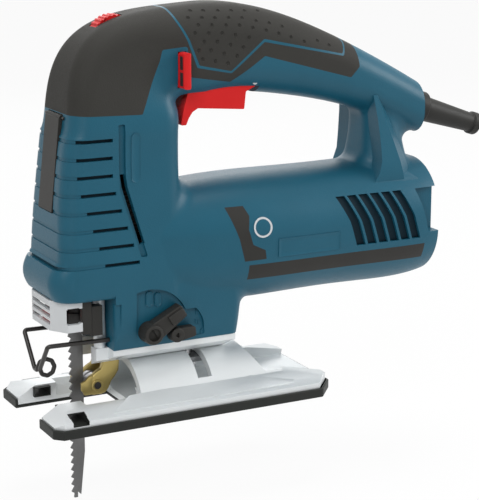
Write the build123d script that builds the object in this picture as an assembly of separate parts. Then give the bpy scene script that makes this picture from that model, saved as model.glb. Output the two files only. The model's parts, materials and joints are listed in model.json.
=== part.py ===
from build123d import *
from math import acos, asin, cos, pi, radians, sin, sqrt, tan
import os

# Corded top-handle jigsaw. Millimetres, +Z up, front (blade) end at -X, origin on the sole
# under the bevel axis, which is the X axis itself.

# Fits
slip = 0.05  # radial play of a shaft that turns or slides
seat = 0.02  # radial play of a pin or bearing that stays put
gap = 0.3  # free gap between pieces that move past each other

# Sole, overshoe and shoe
sole_front = 76.8
sole_rear = 84.0
sole_half_width = 40.1
sole_slot_half = 16.8
sole_slot_end = 26.0
rear_taper_length = 10.2
rear_taper_width = 12.0
front_corner = 4.0
tray_floor = 2.0
tray_rim = 1.2
tray_height = 5.0
shoe_floor = 3.5
shoe_shoulder_z = 7.6
ridge_y = 19.0
ridge_z = 14.0
prong_top_z = 11.0
prong_slope_run = 9.0
arch_radius = 27.0
arch_wall = 4.0
arch_front = 24.0
arch_rear = 58.0
guide_slot_width = 8.5
guide_slot_height = 4.5
guide_slot_x = -62.7
clamp_x = 13.0
clamp_screw_radius = 3.0
clamp_head_radius = 5.0
clamp_head_height = 3.4
clamp_bar_low = 18.9
clamp_bar_half = 7.0
clamp_bar_length = 20.0
tilt_limit = 45.0
shoe_inset = 1.4
key_hole_radius = 5.5

# Saddle casting
saddle_top = 36.3
saddle_half_width = 21.8
saddle_lip = 3.2
saddle_seat_half = 7.5
saddle_front = 44.6
saddle_rear = 31.0
saddle_nose_half = 15.2
pillar_radius = 3.0
pillar_y = 12.0
pillar_x = -41.4

# Housing form
wall = 3.2
pad_depth = 1.5
nose_half_width = 25.0
nose_front = 66.0
nose_lean = 6.7
nose_bottom = 64.0
nose_back = 1.5
nose_corner = 9.0
collar_flare = 4.3
leg_front = 38.0
leg_rear = 33.0
leg_half_width = 22.3
grip_floor_z = 117.5
motor_axis_z = 82.8
motor_half_height = 33.1
barrel_rise = 1.5
motor_half_width = 33.0
motor_corner = 30.0
housing_rear = 150.0
handle_top = 206.4
handle_half_width = 19.5
handle_height = 47.8
handle_end_x = 149.0
handle_end_z = 145.0
handle_end_height = 28.0
column_half_width = 14.5
shoulder_fillet = 10.0
column_fillet = 8.0

# Vents and grooves
nose_slot_count = 8
nose_slot_height = 1.8
nose_slot_length = 18.5
nose_slot_pitch = 8.86
nose_slot_top = 143.7
nose_slot_rear = -37.2
rear_slot_count = 6
rear_slot_pitch = 6.9
rear_slot_width = 5.4
rear_slot_top = 104.2
rear_slot_bottom = 78.0
rear_slot_x = 87.0
rear_slot_lean = 10.6
groove_width = 3.5
step_depth = 0.5
badge_front = 22.2
notch_depth = 9.5
leg_corner = 3.0
rim_corner = 2.6

# Drive
gear_module = 0.75
pinion_teeth = 12
gear_teeth = 48
gear_width = 10.0
gear_front_x = -30.0
crank_radius = 13.0
crank_pin_radius = 4.0
crank_rest = 1.0
yoke_thickness = 8.5
yoke_rear_x = -37.0
yoke_half_width = 20.0
yoke_half_height = 8.0
rod_x = -48.5
rod_radius = 4.0
rod_bottom = 54.0
rod_top = 146.0
shaft_radius = 4.0
shaft_rear = 130.5
bearing_radius = 9.5
bearing_width = 7.0
axle_radius = 5.0
stator_radius = 26.0
stator_bore = 16.4
stator_front = 50.0
stator_length = 48.0
core_radius = 15.8
commutator_radius = 10.5
fan_radius = 22.0
fan_front = 20.0
fan_width = 13.0
fan_blades = 11
case_plate_front = -14.0
case_plate_rear = -5.0

# Blade, clamp and guide roller
blade_front = 53.7
blade_back = 46.0
blade_thick = 1.2
blade_tip_z = -47.4
blade_top_z = 52.6
tooth_pitch = 4.0
tooth_depth = 1.6
clamp_radius = 6.4
clamp_bottom = 44.0
clamp_top = 62.0
sleeve_wall = 1.2
fork_pivot_x = -32.0
fork_pivot_z = 30.0
fork_pin_radius = 1.6
cheek_inner = 4.2
cheek_outer = 8.0
roller_z = 14.5
roller_play = 0.35
roller_groove = 4.4
roller_rim = 5.3
roller_half = 3.4
roller_pin_radius = 1.8

# Controls
guide_lever_x = -19.6
guide_lever_z = 44.4
guide_lever_reach = 20.3
guide_lever_angle = 31.5
orbit_lever_x = -5.1
orbit_lever_z = 41.7
orbit_lever_reach = 10.2
orbit_lever_angle = 5.6
trigger_half_width = 13.8
trigger_pivot_x = 45.5
trigger_pivot_z = 166.0
lock_x = 2.8
lock_thick = 4.5
lock_low = 166.0
lock_high = 184.0
lock_reach = 26.0
dial_x = -26.3
dial_z = 190.4
dial_radius = 12.0
dial_half = 4.0
ejector_half_width = 9.0
ejector_top = 154.0
ejector_bottom = 107.5
ejector_thick = 2.0

# Front cap, guard wire and cord sleeve
cap_front = 68.0
cap_half_width = 21.5
cap_bottom = 48.5
cap_wall = 2.2
cap_side_end = 54.0
wire_radius = 1.15
wire_y = 16.7
wire_corner_x = -71.0
wire_corner_z = 41.6
wire_arm_z = 40.8
wire_loop_radius = 3.9
wire_loop_z = 25.6
wire_loop_x = -65.6
sleeve_drop = 17.7
sleeve_length = 47.0
sleeve_root = 7.0
sleeve_tip = 5.3
sleeve_flange = 9.0
cord_bore = 3.8


def slab(x0, x1, y0, y1, z0, z1):
    """Block between two corners."""
    return Pos((x0 + x1) / 2, (y0 + y1) / 2, (z0 + z1) / 2) * Box(x1 - x0, y1 - y0, z1 - z0)


def rod_along_x(x0, x1, y, z, radius):
    return Pos((x0 + x1) / 2, y, z) * Rot(0, 90, 0) * Cylinder(radius, x1 - x0)


def rod_along_y(x, z, y0, y1, radius):
    return Pos(x, (y0 + y1) / 2, z) * Rot(90, 0, 0) * Cylinder(radius, y1 - y0)


def rod_along_z(x, y, z0, z1, radius):
    return Pos(x, y, (z0 + z1) / 2) * Cylinder(radius, z1 - z0)


def tube_along_x(x0, x1, z, outer, inner):
    return rod_along_x(x0, x1, 0, z, outer) - rod_along_x(x0 - 1, x1 + 1, 0, z, inner)


def side_prism(outline, y0, y1, radius=0):
    """Outline of (x, z) points run across the tool from y0 to y1."""
    face = make_face(Polyline(*outline, close=True))
    if radius:
        face = fillet(face.vertices(), radius)
    return extrude(Plane.XZ.offset(-y1) * face, y1 - y0)


def cross_prism(outline, x0, x1):
    """Outline of (y, z) points run along the tool from x0 to x1."""
    return extrude(Plane.YZ.offset(x0) * make_face(Polyline(*outline, close=True)), x1 - x0)


def plan_prism(outline, z0, z1):
    """Outline of (x, y) points run upwards from z0 to z1."""
    return extrude(Plane.XY.offset(z0) * make_face(Polyline(*outline, close=True)), z1 - z0)


def both_sides(piece):
    return piece + mirror(piece, Plane.XZ)


# Housing form: three lofts make nose, bend and handle, others the motor barrel, leg and rear column


def across_x(x, low, high, half_width, corner, inset):
    return (
        Plane.YZ.offset(x)
        * Pos(0, (low + high) / 2)
        * RectangleRounded(2 * (half_width - inset), high - low - 2 * inset, max(corner - inset, 1.5))
    )


def across_z(z, front, rear, half_width, corner, inset):
    return (
        Plane.XY.offset(z)
        * Pos((front + rear) / 2, 0)
        * RectangleRounded(rear - front - 2 * inset, 2 * (half_width - inset), max(corner - inset, 1.5))
    )


def fanned(inner_x, inner_z, outer_x, outer_z, half_width, corner, inset):
    """Section from a point at the grip opening to a point on the outside."""
    reach = Vector(outer_x - inner_x, 0, outer_z - inner_z)
    plane = Plane(
        origin=((inner_x + outer_x) / 2, 0, (inner_z + outer_z) / 2),
        x_dir=(0, 1, 0),
        z_dir=Vector(0, 1, 0).cross(reach.normalized()),
    )
    return plane * RectangleRounded(
        2 * (half_width - inset), reach.length - 2 * inset, max(corner - inset, 1.5)
    )


nose_crown_x = -nose_front + nose_lean
bend_z = 145.0
handle_start_x = 18.0
handle_under = handle_top - handle_height


def crown_section(inset):
    """Top of the nose, where the bend into the handle begins."""
    return fanned(nose_back, bend_z, nose_crown_x, bend_z, nose_half_width - 0.5, nose_corner + 1, inset)


def nose_loft(inset):
    return loft(
        [
            fanned(nose_back, saddle_top + inset, -nose_front, saddle_top + inset,
                   leg_half_width + 0.3, nose_corner, inset),
            fanned(nose_back, saddle_top + 12, -nose_front, saddle_top + 12,
                   nose_half_width, nose_corner, inset),
            fanned(nose_back, 100, -nose_front + 1.7, 100, nose_half_width, nose_corner, inset),
            crown_section(inset),
        ]
    )


def bend_loft(inset):
    return loft(
        [
            crown_section(inset),
            fanned(nose_back + 0.5, handle_under - 2.6, nose_crown_x + 4.3, handle_top - 35.4,
                   handle_half_width + 3, 11, inset),
            fanned(nose_back + 1, handle_under - 1.1, nose_crown_x + 14.3, handle_top - 15.9,
                   handle_half_width + 1, 12, inset),
            fanned(nose_back + 3, handle_under - 0.3, nose_crown_x + 39.3, handle_top - 3.8,
                   handle_half_width, 14, inset),
            across_x(handle_start_x - 3, handle_under - 0.1, handle_top - 0.15, handle_half_width, 16, inset),
            across_x(handle_start_x, handle_under, handle_top, handle_half_width, 16, inset),
        ]
    )


def handle_loft(inset):
    end_low = handle_end_z - handle_end_height / 2
    end_high = handle_end_z + handle_end_height / 2
    end = handle_end_x - inset
    return loft(
        [
            across_x(handle_start_x, handle_under, handle_top, handle_half_width, 16, inset),
            across_x(50, handle_under + 0.7, handle_top - 3, handle_half_width, 16, inset),
            across_x(77, handle_under - 3.6, handle_top - 11.5, handle_half_width - 0.5, 16, inset),
            across_x(98, handle_under - 8.3, handle_top - 20.6, handle_half_width - 1, 15, inset),
            across_x(125, end_low + 10, end_high + 13.3, handle_half_width - 2, 13.5, inset),
            across_x(end, end_low, end_high, handle_half_width - 3, 12, inset),
        ]
    )


def motor_loft(inset):
    low = motor_axis_z + barrel_rise - motor_half_height
    high = motor_axis_z + barrel_rise + motor_half_height
    return loft(
        [
            across_x(-30, low + 13, high - 10, nose_half_width - 2, 18, inset),
            across_x(0, low + 4, high - 3, motor_half_width - 5, motor_corner - 6, inset),
            across_x(30, low + 0.3, high - 0.4, motor_half_width - 1, motor_corner - 2, inset),
            across_x(60, low, high, motor_half_width, motor_corner, inset),
            across_x(120, low, high + 0.4, motor_half_width, motor_corner, inset),
            across_x(housing_rear - inset, low + 2.3, high - 0.5, motor_half_width - 2,
                     motor_corner - 2, inset),
        ]
    )


def leg_loft(inset):
    return loft(
        [
            across_z(saddle_top + inset, -25, leg_rear, leg_half_width, 5, inset),
            across_z(saddle_top + 12, -25, leg_rear + 1, nose_half_width - 0.3, 6, inset),
            across_z(76, -25, leg_rear + 3, nose_half_width - 0.3, 8, inset),
        ]
    )


def column_loft(inset):
    return loft(
        [
            across_z(98, 108, 146, column_half_width + 5.5, 9, inset),
            across_z(grip_floor_z + 0.5, 113.5, 142, column_half_width + 1.5, 9, inset),
            across_z(132, 115.5, 139, column_half_width, 9, inset),
            across_z(157, 112, 137, column_half_width - 2, 9, inset),
        ]
    )


def collar_loft():
    return loft(
        [
            across_z(nose_bottom, -nose_front - 1, -20, nose_half_width + 0.2, nose_corner, 0),
            across_z(nose_bottom + 8, -nose_front - collar_flare, -20, nose_half_width + 0.9,
                     nose_corner + 1, 0),
            across_z(nose_bottom + 20, -nose_front + 0.7, -20, nose_half_width + 0.1, nose_corner, 0),
        ]
    )


def seam_edges(body, first, second):
    """Edges of the joined body that lie on the surfaces of both forms."""
    found = []
    for edge in body.edges():
        middle = Vertex(*(edge @ 0.5))
        on_first = first.shell().distance_to(middle) < 1e-3
        on_second = second.shell().distance_to(middle) < 1e-3
        if on_first and on_second:
            found.append(edge)
    return found


def blade_notch(grow):
    """Space in front of the leg and under the nose."""
    reach = nose_front + 20
    half = nose_half_width + 10
    return slab(-reach, -leg_front + grow, -half, half, saddle_top - 20, nose_bottom + grow)


def outer_form():
    nose = nose_loft(0)
    bend = bend_loft(0)
    handle = handle_loft(0)
    motor = motor_loft(0)
    leg = leg_loft(0)
    column = column_loft(0)
    body = (nose + bend + handle + motor + leg + column).solids()[0]
    for first, second, radius in (
        (nose, motor, shoulder_fillet),
        (handle, column, column_fillet - 2),
        (column, motor, column_fillet),
        (leg, motor, column_fillet),
    ):
        body = body.fillet(radius, seam_edges(body, first, second)).solids()[0]
    body = (body - blade_notch(0) + collar_loft()).solids()[0]
    body = body.fillet(rim_corner, nose_rim(body)).solids()[0]
    return (body - both_sides(leg_corner_waste())).solids()[0]


def leg_corner_waste():
    """What is taken off to round the front corner of the leg."""
    y = nose_half_width - leg_corner
    block = slab(-leg_front - 1, -leg_front + leg_corner, y, nose_half_width + 5,
                 saddle_top - 1, nose_bottom - 3)
    return block - rod_along_z(-leg_front + leg_corner, y, saddle_top - 2, nose_bottom, leg_corner)


def nose_rim(body):
    """Edges round the underside of the nose."""
    found = []
    for edge in body.edges():
        middle = edge @ 0.5
        if abs(middle.Z - nose_bottom) < 0.05 and middle.X < -leg_front - 1:
            found.append(edge)
    return found


def inner_form(inset):
    body = nose_loft(inset) + bend_loft(inset) + handle_loft(inset) + motor_loft(inset)
    body = body + leg_loft(inset) + column_loft(inset)
    return body - blade_notch(inset)


front_slope = (nose_lean - 1.7) / (bend_z - 100)


def nose_face_x(z):
    """Front face of the nose at height z."""
    return nose_crown_x + (z - bend_z) * front_slope


# Pads: dark rubber skins let into the outer face of the housing

pad_side = 60.0
inlay = 1.2
grip_outline = (
    (-5, 215), (1.5, 199.5), (7, 189.4), (12.3, 176.6), (30, 172.8),
    (48.8, 188), (96.3, 177.6), (99, 183), (99, 215),
)
inlay_outline = (
    (-5 - inlay, 215), (1.5 - inlay, 199.3), (7 - inlay, 189), (12.3 - inlay, 175.5),
    (30.3, 172.8 - inlay), (49, 188 - 1.3 * inlay), (96.9, 177.6 - inlay), (99 + inlay, 183),
    (99 + inlay, 215),
)
nose_pad_outline = (
    (-80, 157), (-21, 155), (-9.5, 180), (-8, 185.5), (5.6, 186.5), (7.4, 171),
    (30.5, 167), (49.3, 179.3), (101, 165), (106.5, 170.5), (107, 215), (-80, 215),
)
strip_low = 66.2
strip_high = 74.4
strip_front = 34.0
strip_rear = 141.0
badge_outline = (
    (badge_front, 104.8), (badge_front + 10.2, 104.8), (badge_front + 12.5, 99.9),
    (badge_front + 11.4, 93.2), (badge_front + 13.7, 85.1), (badge_front + 20.6, 81.7),
    (badge_front + 21.3, 76.9), (badge_front + 9.1, 76.7), (badge_front + 6.2, 88.5),
)


def pad_tools(under):
    """Cutters for the left grip pad, nose pad and side strip with its badge patch."""
    grip = side_prism(grip_outline, -pad_side, 0, 1.2) - under
    nose = side_prism(nose_pad_outline, -pad_side, 0, 1.2)
    nose = nose - side_prism(inlay_outline, -pad_side, 0, 1.2) - under
    strip = slab(strip_front, strip_rear, -pad_side, 0, strip_low, strip_high)
    strip = strip + side_prism(badge_outline, -pad_side, 0) - under
    return grip, nose, strip


# Vents and grooves of the housing


def nose_slots():
    """Slots through the cheek, each drawn on round the nose as a shallow step."""
    slots = []
    steps = []
    half = nose_half_width + 10
    for index in range(nose_slot_count):
        z = nose_slot_top - nose_slot_pitch * index
        low = z - nose_slot_height / 2
        high = z + nose_slot_height / 2
        rear = nose_slot_rear + max(0, index - 2.5) * 2.8
        slots.append(slab(rear - nose_slot_length, rear, -half, -half + 17, low, high))
        steps.append(slab(-nose_front - 20, rear - nose_slot_length + 1, -half, 0, low, high))
    core = nose_loft(step_depth)
    return slots + [step - core for step in steps]


def side_groove(under):
    """Channel behind the nose slots, upright above and slanted below."""
    w = groove_width
    top = (-34.2, 151)
    knee = (-33.8, 119)
    foot = (-23.6, 84)
    outline = (
        top, (top[0] + w, top[1]), (knee[0] + w, knee[1]),
        (foot[0] + w, foot[1]), foot, knee,
    )
    return side_prism(outline, -pad_side, 0, 0.8) - under


def slanted_slot():
    """Open slot in the lower run of the channel."""
    outline = (
        (-33, 126), (-30.6, 126), (-29.6, 119.5),
        (-21.6, 91), (-23.9, 90), (-32.2, 119.5),
    )
    return side_prism(outline, -pad_side, -nose_half_width + 8)


def rear_slots():
    slots = []
    reach = motor_half_width + 8
    mid_z = (rear_slot_top + rear_slot_bottom) / 2
    for index in range(rear_slot_count):
        x = rear_slot_x + rear_slot_pitch * index
        bow = 0.62 * rear_slot_lean
        outline = (
            (x, rear_slot_top), (x + rear_slot_width, rear_slot_top),
            (x + rear_slot_width + bow, mid_z),
            (x + rear_slot_width + rear_slot_lean, rear_slot_bottom),
            (x + rear_slot_lean, rear_slot_bottom), (x + bow, mid_z),
        )
        slots.append(side_prism(outline, -reach, -reach + 16))
    return slots


# Housing details

screw_radius = 1.95
screw_head_radius = 3.6
screw_head_height = 3.0
screw_head_y = 12.0
screw_tip_y = -9.0
boss_radius = 4.6
screw_places = ((140, 66), (120, 155), (-12, 150), (8, 58))
bearing_rib_front = 123.5
rear_bearing_front = 124.0
lever_scoop_radius = 22.5
lever_scoop_depth = 1.7
scoop_y = -nose_half_width + lever_scoop_depth
orbit_scoop_radius = 17.0
lever_shaft_radius = 3.0
orbit_shaft_radius = 1.8
ejector_pivot_x = nose_face_x(ejector_top) + 0.9
ejector_knuckle = 1.5
ejector_pin_radius = 0.8
trigger_pin_radius = 1.5
sleeve_start = Vector(handle_end_x, 0, handle_end_z + 0.1)
sleeve_plane = Plane(origin=sleeve_start, x_dir=(0, 1, 0),
                     z_dir=(cos(radians(sleeve_drop)), 0, -sin(radians(sleeve_drop))))
sleeve_plug_radius = 6.0
sleeve_plug_length = 12.0
lower_guide_radius = 11.0
lower_guide_top = 83.0
lower_guide_land = 7.5
nose_floor_top = nose_bottom + wall


def housing_ribs(form):
    """Webs that hold the stator and the rear bearing, the screw bosses and the rear corner block."""
    half = pad_side
    webs = []
    for x in (stator_front + 10, stator_front + stator_length - 12):
        webs.append(slab(x, x + 4, -half, 0, 40, grip_floor_z + 10)
                    - rod_along_x(x - 1, x + 5, 0, motor_axis_z, stator_radius + seat))
    rib = bearing_rib_front
    rear = slab(rib, rib + bearing_width + 1, -half, 0, 40, grip_floor_z + 6)
    rear = rear - rod_along_x(rib - 1, rib + 20, 0, motor_axis_z, shaft_radius + 2)
    rear = rear - rod_along_x(rib - 1, rear_bearing_front + bearing_width,
                              0, motor_axis_z, bearing_radius + seat)
    webs.append(rear)
    for x, z in screw_places:
        webs.append(rod_along_y(x, z, -half, 0, boss_radius))
    webs.append(slab(housing_rear - 16, housing_rear,
                     -half, -motor_half_width + notch_depth + wall, 76, 108))
    return [web & form for web in webs]


def rear_notch():
    """Hollow in the rear corner, between the column's foot and the lower block."""
    outline = (
        (housing_rear - 14, 104.2), (housing_rear - 9, 88.6), (housing_rear - 6.9, 80.5),
        (housing_rear + 10, 80.5), (housing_rear + 10, 104.2),
    )
    return side_prism(outline, -pad_side, -motor_half_width + notch_depth)


def lock_hole():
    reach = lock_thick / 2 + 0.15
    return slab(lock_x - reach, lock_x + reach, -pad_side, pad_side,
                lock_low - 0.15, lock_high + 0.15)


def shared_cuts(under):
    """Cuts that both halves have, drawn on the left one."""
    cuts = nose_slots() + rear_slots()
    cuts += [side_groove(under), slanted_slot(), rear_notch()]
    cuts += [lock_hole(), dial_recess(), ejector_recess()]
    # plunger opening in the nose floor, trigger slot, ejector pin
    cuts.append(rod_along_z(rod_x, 0, nose_bottom - 5, nose_floor_top + 1, clamp_radius + 1.6))
    cuts.append(slab(1, trigger_pivot_x + 3.6, -trigger_half_width - 0.4, 0, 141, 176))
    cuts.append(rod_along_y(trigger_pivot_x, trigger_pivot_z, -trigger_half_width - 2, 0,
                            trigger_pin_radius + seat))
    cuts.append(rod_along_y(ejector_pivot_x, ejector_top, -ejector_half_width - 3, 0,
                            ejector_pin_radius + seat))
    # cord sleeve, clamp screw and guard wire seats
    cuts.append(extrude(sleeve_plane.offset(-20) * Circle(sleeve_plug_radius + seat), 40))
    cuts.append(rod_along_z(clamp_x, 0, saddle_top - 1, saddle_top + 12, clamp_screw_radius + seat))
    cuts.append(rod_along_x(-leg_front - 3, -leg_front + wall + 4, -wire_y, wire_arm_z,
                            wire_radius + seat))
    return cuts


def scoop_backing():
    """Floor under the upper part of the lever scoop, where the hollow of the collar comes close."""
    outside = scoop_y - 0.6
    inside = scoop_y + wall
    disc = rod_along_y(guide_lever_x, guide_lever_z, outside, inside, lever_scoop_radius + wall / 2)
    return disc & slab(guide_lever_x - 7 - wall, 40, outside, inside, guide_lever_z, 100)


def left_cuts():
    """Lever scoops, lever shafts and the blind ends of the screws."""
    half = pad_side
    scoop = rod_along_y(guide_lever_x, guide_lever_z, -half, scoop_y, lever_scoop_radius)
    scoop = scoop & slab(guide_lever_x - 7, 40, -half, scoop_y, saddle_top + 2.4, 100)
    orbit = rod_along_y(orbit_lever_x, orbit_lever_z, -half, scoop_y + 0.8, orbit_scoop_radius)
    orbit = orbit & slab(orbit_lever_x + 4, 40, -half, scoop_y + 0.8, saddle_top + 2.4, 54)
    cuts = [scoop, orbit]
    cuts.append(rod_along_y(guide_lever_x, guide_lever_z, -half, 0, lever_shaft_radius + slip))
    cuts.append(rod_along_y(orbit_lever_x, orbit_lever_z, -half, 0, orbit_shaft_radius + slip))
    for x, z in screw_places:
        cuts.append(rod_along_y(x, z, screw_tip_y - 1, 1, screw_radius + slip))
    return cuts


def right_cuts():
    """Screw shanks and the pockets for their heads."""
    cuts = []
    for x, z in screw_places:
        cuts.append(rod_along_y(x, z, -1, pad_side, screw_radius + slip))
        cuts.append(rod_along_y(x, z, screw_head_y, pad_side, screw_head_radius + gap))
    return cuts


def dial_recess():
    return rod_along_y(dial_x, dial_z, -dial_half - gap, dial_half + gap, dial_radius + gap)


def ejector_plate(grow, proud, depth):
    low = ejector_bottom - 2 * grow
    face_low = nose_face_x(low)
    face_high = nose_face_x(ejector_top)
    outline = (
        (face_low - proud, low), (face_low + depth, low),
        (face_high + depth, ejector_top), (face_high - proud, ejector_top),
    )
    return side_prism(outline, -ejector_half_width - grow, ejector_half_width + grow)


def ejector_recess():
    half = ejector_half_width + gap
    pocket = ejector_plate(gap, 12, ejector_thick - 0.8 + gap)
    knuckle = rod_along_y(ejector_pivot_x, ejector_top, -half, half, ejector_knuckle + gap)
    mouth = slab(ejector_pivot_x - 15, ejector_pivot_x, -half, half,
                 ejector_top - 1, ejector_top + ejector_knuckle + gap)
    return pocket + knuckle + mouth


def housing_pieces(void):
    left_space = slab(-200, 300, -200, 0, -100, 400)
    outer = outer_form() & left_space
    under = inner_form(pad_depth) & left_space
    grip_tool, nose_tool, strip_tool = pad_tools(under)
    shell = outer - (void & left_space) + housing_ribs(outer)
    shell = shell - [grip_tool, nose_tool, strip_tool] - shared_cuts(under)
    pads = {
        "grip_pad": outer & grip_tool,
        "nose_pad": (outer & nose_tool) - [dial_recess(), ejector_recess(), lock_hole()],
        "side_strip": outer & strip_tool,
    }
    pieces = {
        "left_housing": (shell + scoop_backing()) - left_cuts(),
        "right_housing": mirror(shell, Plane.XZ) - right_cuts(),
    }
    for name, pad in pads.items():
        pieces["left_" + name] = pad
        pieces["right_" + name] = mirror(pad, Plane.XZ)
    return pieces


# Shoe: black tray below, alloy shoe above it


def sole_outline(inset):
    """Plan of the sole, with the blade slot open to the front."""
    front = -sole_front + inset
    rear = sole_rear - inset
    half = sole_half_width - inset
    taper = rear - rear_taper_length
    return (
        (front + front_corner, -half), (taper, -half), (rear, -half + rear_taper_width),
        (rear, half - rear_taper_width), (taper, half), (front + front_corner, half),
        (front, half - front_corner), (front, sole_slot_half), (-sole_slot_end, sole_slot_half),
        (-sole_slot_end, -sole_slot_half), (front, -sole_slot_half), (front, -half + front_corner),
    )


def key_hole():
    return rod_along_z(clamp_x, 0, -1, tray_floor + shoe_floor + 1, key_hole_radius)


def overshoe():
    tray = plan_prism(sole_outline(0), 0, tray_height)
    inside = plan_prism(sole_outline(tray_rim), tray_floor, tray_height + 1)
    return tray - inside - key_hole()


def shoe_plate():
    half = sole_half_width - shoe_inset
    floor_top = tray_floor + shoe_floor
    front = -sole_front + shoe_inset
    rear = sole_rear - shoe_inset
    far = 150.0
    body = plan_prism(sole_outline(shoe_inset), tray_floor, ridge_z)
    roof = (
        (-half, 0), (-half, shoe_shoulder_z), (-ridge_y, ridge_z),
        (ridge_y, ridge_z), (half, shoe_shoulder_z), (half, 0),
    )
    body = body & cross_prism(roof, -far, far)
    profile = (
        (front, 0), (front, floor_top), (front + prong_slope_run, prong_top_z),
        (-sole_slot_end - 2, prong_top_z), (-sole_slot_end + 2, ridge_z + 1),
        (sole_rear - 32, ridge_z + 1), (rear, ridge_z - 5.5), (rear, 0),
    )
    body = body & side_prism(profile, -far, far)
    inside = sole_slot_half - 6
    outside = sole_slot_half + 7.7
    facet = (
        (inside, floor_top - 1.5), (sole_slot_half, floor_top - 1.5), (outside, prong_top_z + 0.5),
        (outside, ridge_z + 6), (inside, ridge_z + 6),
    )
    body = body - both_sides(cross_prism(facet, guide_slot_x + guide_slot_width, -sole_slot_end + 1))
    inner = arch_radius - arch_wall
    arch = rod_along_x(-arch_front, arch_rear, 0, 0, arch_radius)
    arch = arch & slab(-arch_front, arch_rear, -far, far, floor_top - 1, far)
    body = body + arch
    hollow = rod_along_x(-sole_slot_end - 1, far, 0, 0, inner)
    body = body - (hollow & slab(-far, far, -far, far, floor_top, far))
    # slanted rear end of the arch, slot for the clamp screw, rip-fence channels
    slant = (
        (arch_rear - 21.5, arch_radius + 3), (arch_rear - 10, ridge_z - 0.5),
        (far, ridge_z - 0.5), (far, arch_radius + 3),
    )
    body = body - side_prism(slant, -far, far)
    swing = radians(tilt_limit + 11)
    across = 2 * arch_radius * sin(swing)
    up = 2 * arch_radius * cos(swing)
    sector = ((0, 0), (across, up), (0, 4 * arch_radius), (-across, up))
    screw_half = clamp_screw_radius + 1
    body = body - cross_prism(sector, clamp_x - screw_half, clamp_x + screw_half)
    slot_half = guide_slot_width / 2
    body = body - slab(guide_slot_x - slot_half, guide_slot_x + slot_half, -far, far,
                       floor_top, floor_top + guide_slot_height)
    return body - key_hole()


def clamp_bar():
    x0 = clamp_x - clamp_bar_length / 2
    x1 = clamp_x + clamp_bar_length / 2
    bar = rod_along_x(x0, x1, 0, 0, arch_radius - arch_wall - gap - 0.1)
    bar = bar & slab(x0, x1, -clamp_bar_half, clamp_bar_half, clamp_bar_low, arch_radius)
    return bar - rod_along_z(clamp_x, 0, 0, arch_radius, clamp_screw_radius + seat)


def clamp_screw():
    head_low = clamp_bar_low - clamp_head_height
    screw = rod_along_z(clamp_x, 0, clamp_bar_low - 0.5, saddle_top + 8, clamp_screw_radius)
    head = rod_along_z(clamp_x, 0, head_low, clamp_bar_low, clamp_head_radius)
    socket = extrude(Plane.XY.offset(head_low) * Pos(clamp_x, 0) * RegularPolygon(2.9, 6), 2.2)
    return screw + head - socket


# Saddle casting between the leg of the housing and the shoe

fork_slot_half = 8.4


def saddle_plate():
    side_low = saddle_top - saddle_lip
    seat_z = sqrt((arch_radius + gap) ** 2 - saddle_seat_half ** 2)
    section = (
        (-saddle_half_width, saddle_top), (saddle_half_width, saddle_top), (saddle_half_width, side_low),
        (saddle_seat_half, seat_z), (-saddle_seat_half, seat_z), (-saddle_half_width, side_low),
    )
    body = cross_prism(section, -saddle_front, saddle_rear)
    body = body - rod_along_x(-saddle_front - 1, saddle_rear + 1, 0, 0, arch_radius + gap)
    for side in (-1, 1):
        near = side * saddle_nose_half
        far = side * (saddle_half_width + 5)
        body = body - slab(-saddle_front - 1, -leg_front, min(near, far), max(near, far),
                           20, saddle_top + 1)
        body = body + rod_along_z(pillar_x, side * pillar_y, saddle_top - 1, nose_bottom, pillar_radius)
    body = body - slab(-saddle_front - 1, fork_pivot_x + 5, -fork_slot_half, fork_slot_half,
                       20, saddle_top + 1)
    body = body - rod_along_y(fork_pivot_x, fork_pivot_z, -30, 30, fork_pin_radius + seat)
    return body - rod_along_z(clamp_x, 0, 20, saddle_top + 1, clamp_screw_radius + seat)


def fork_pivot():
    reach = fork_slot_half + 3
    return rod_along_y(fork_pivot_x, fork_pivot_z, -reach, reach, fork_pin_radius)


# Roller fork

roller_x = -blade_back + roller_groove + roller_play


def roller_fork():
    cheek = (
        (-34, 35), (-29.6, 33.3), (-28.6, 27.8), (-35.5, 12.5), (-38.5, 9.9), (-43.5, 9.9),
        (-46.4, 13), (-49.7, 21.3), (-46.3, 27.7), (-41.2, 20.5), (-37.3, 32.8),
    )
    body = both_sides(side_prism(cheek, cheek_inner, cheek_outer, 0.7))
    bridge = (
        (-36, 33.4), (-34, 34.5), (-30, 33), (-29, 27.8),
        (-33.4, 18.6), (-34.8, 21.5), (-34.8, 29.5),
    )
    body = body + side_prism(bridge, -cheek_inner - 0.5, cheek_inner + 0.5)
    spring = ((-39.2, 28.5), (-35, 30.5), (-35, 33), (-38, 31.5), (-38.4, 40), (-39.2, 40))
    body = body + side_prism(spring, -1.5, 1.5)
    body = body - rod_along_y(fork_pivot_x, fork_pivot_z, -30, 30, fork_pin_radius + slip)
    return body - rod_along_y(roller_x, roller_z, -30, 30, roller_pin_radius + seat)


def guide_roller():
    groove_half = blade_thick / 2 + roller_play
    body = rod_along_y(roller_x, roller_z, -roller_half, roller_half, roller_rim)
    ring = rod_along_y(roller_x, roller_z, -groove_half, groove_half, roller_rim + 1)
    ring = ring - rod_along_y(roller_x, roller_z, -groove_half, groove_half, roller_groove)
    bore = rod_along_y(roller_x, roller_z, -roller_half, roller_half, roller_pin_radius + slip)
    return body - ring - bore


def roller_pin():
    return rod_along_y(roller_x, roller_z, -cheek_outer - 0.6, cheek_outer + 0.6, roller_pin_radius)


# Plunger, blade clamp and blade

gear_axis_z = motor_axis_z + gear_module * (gear_teeth + pinion_teeth) / 2
yoke_z = gear_axis_z + crank_rest


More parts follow.
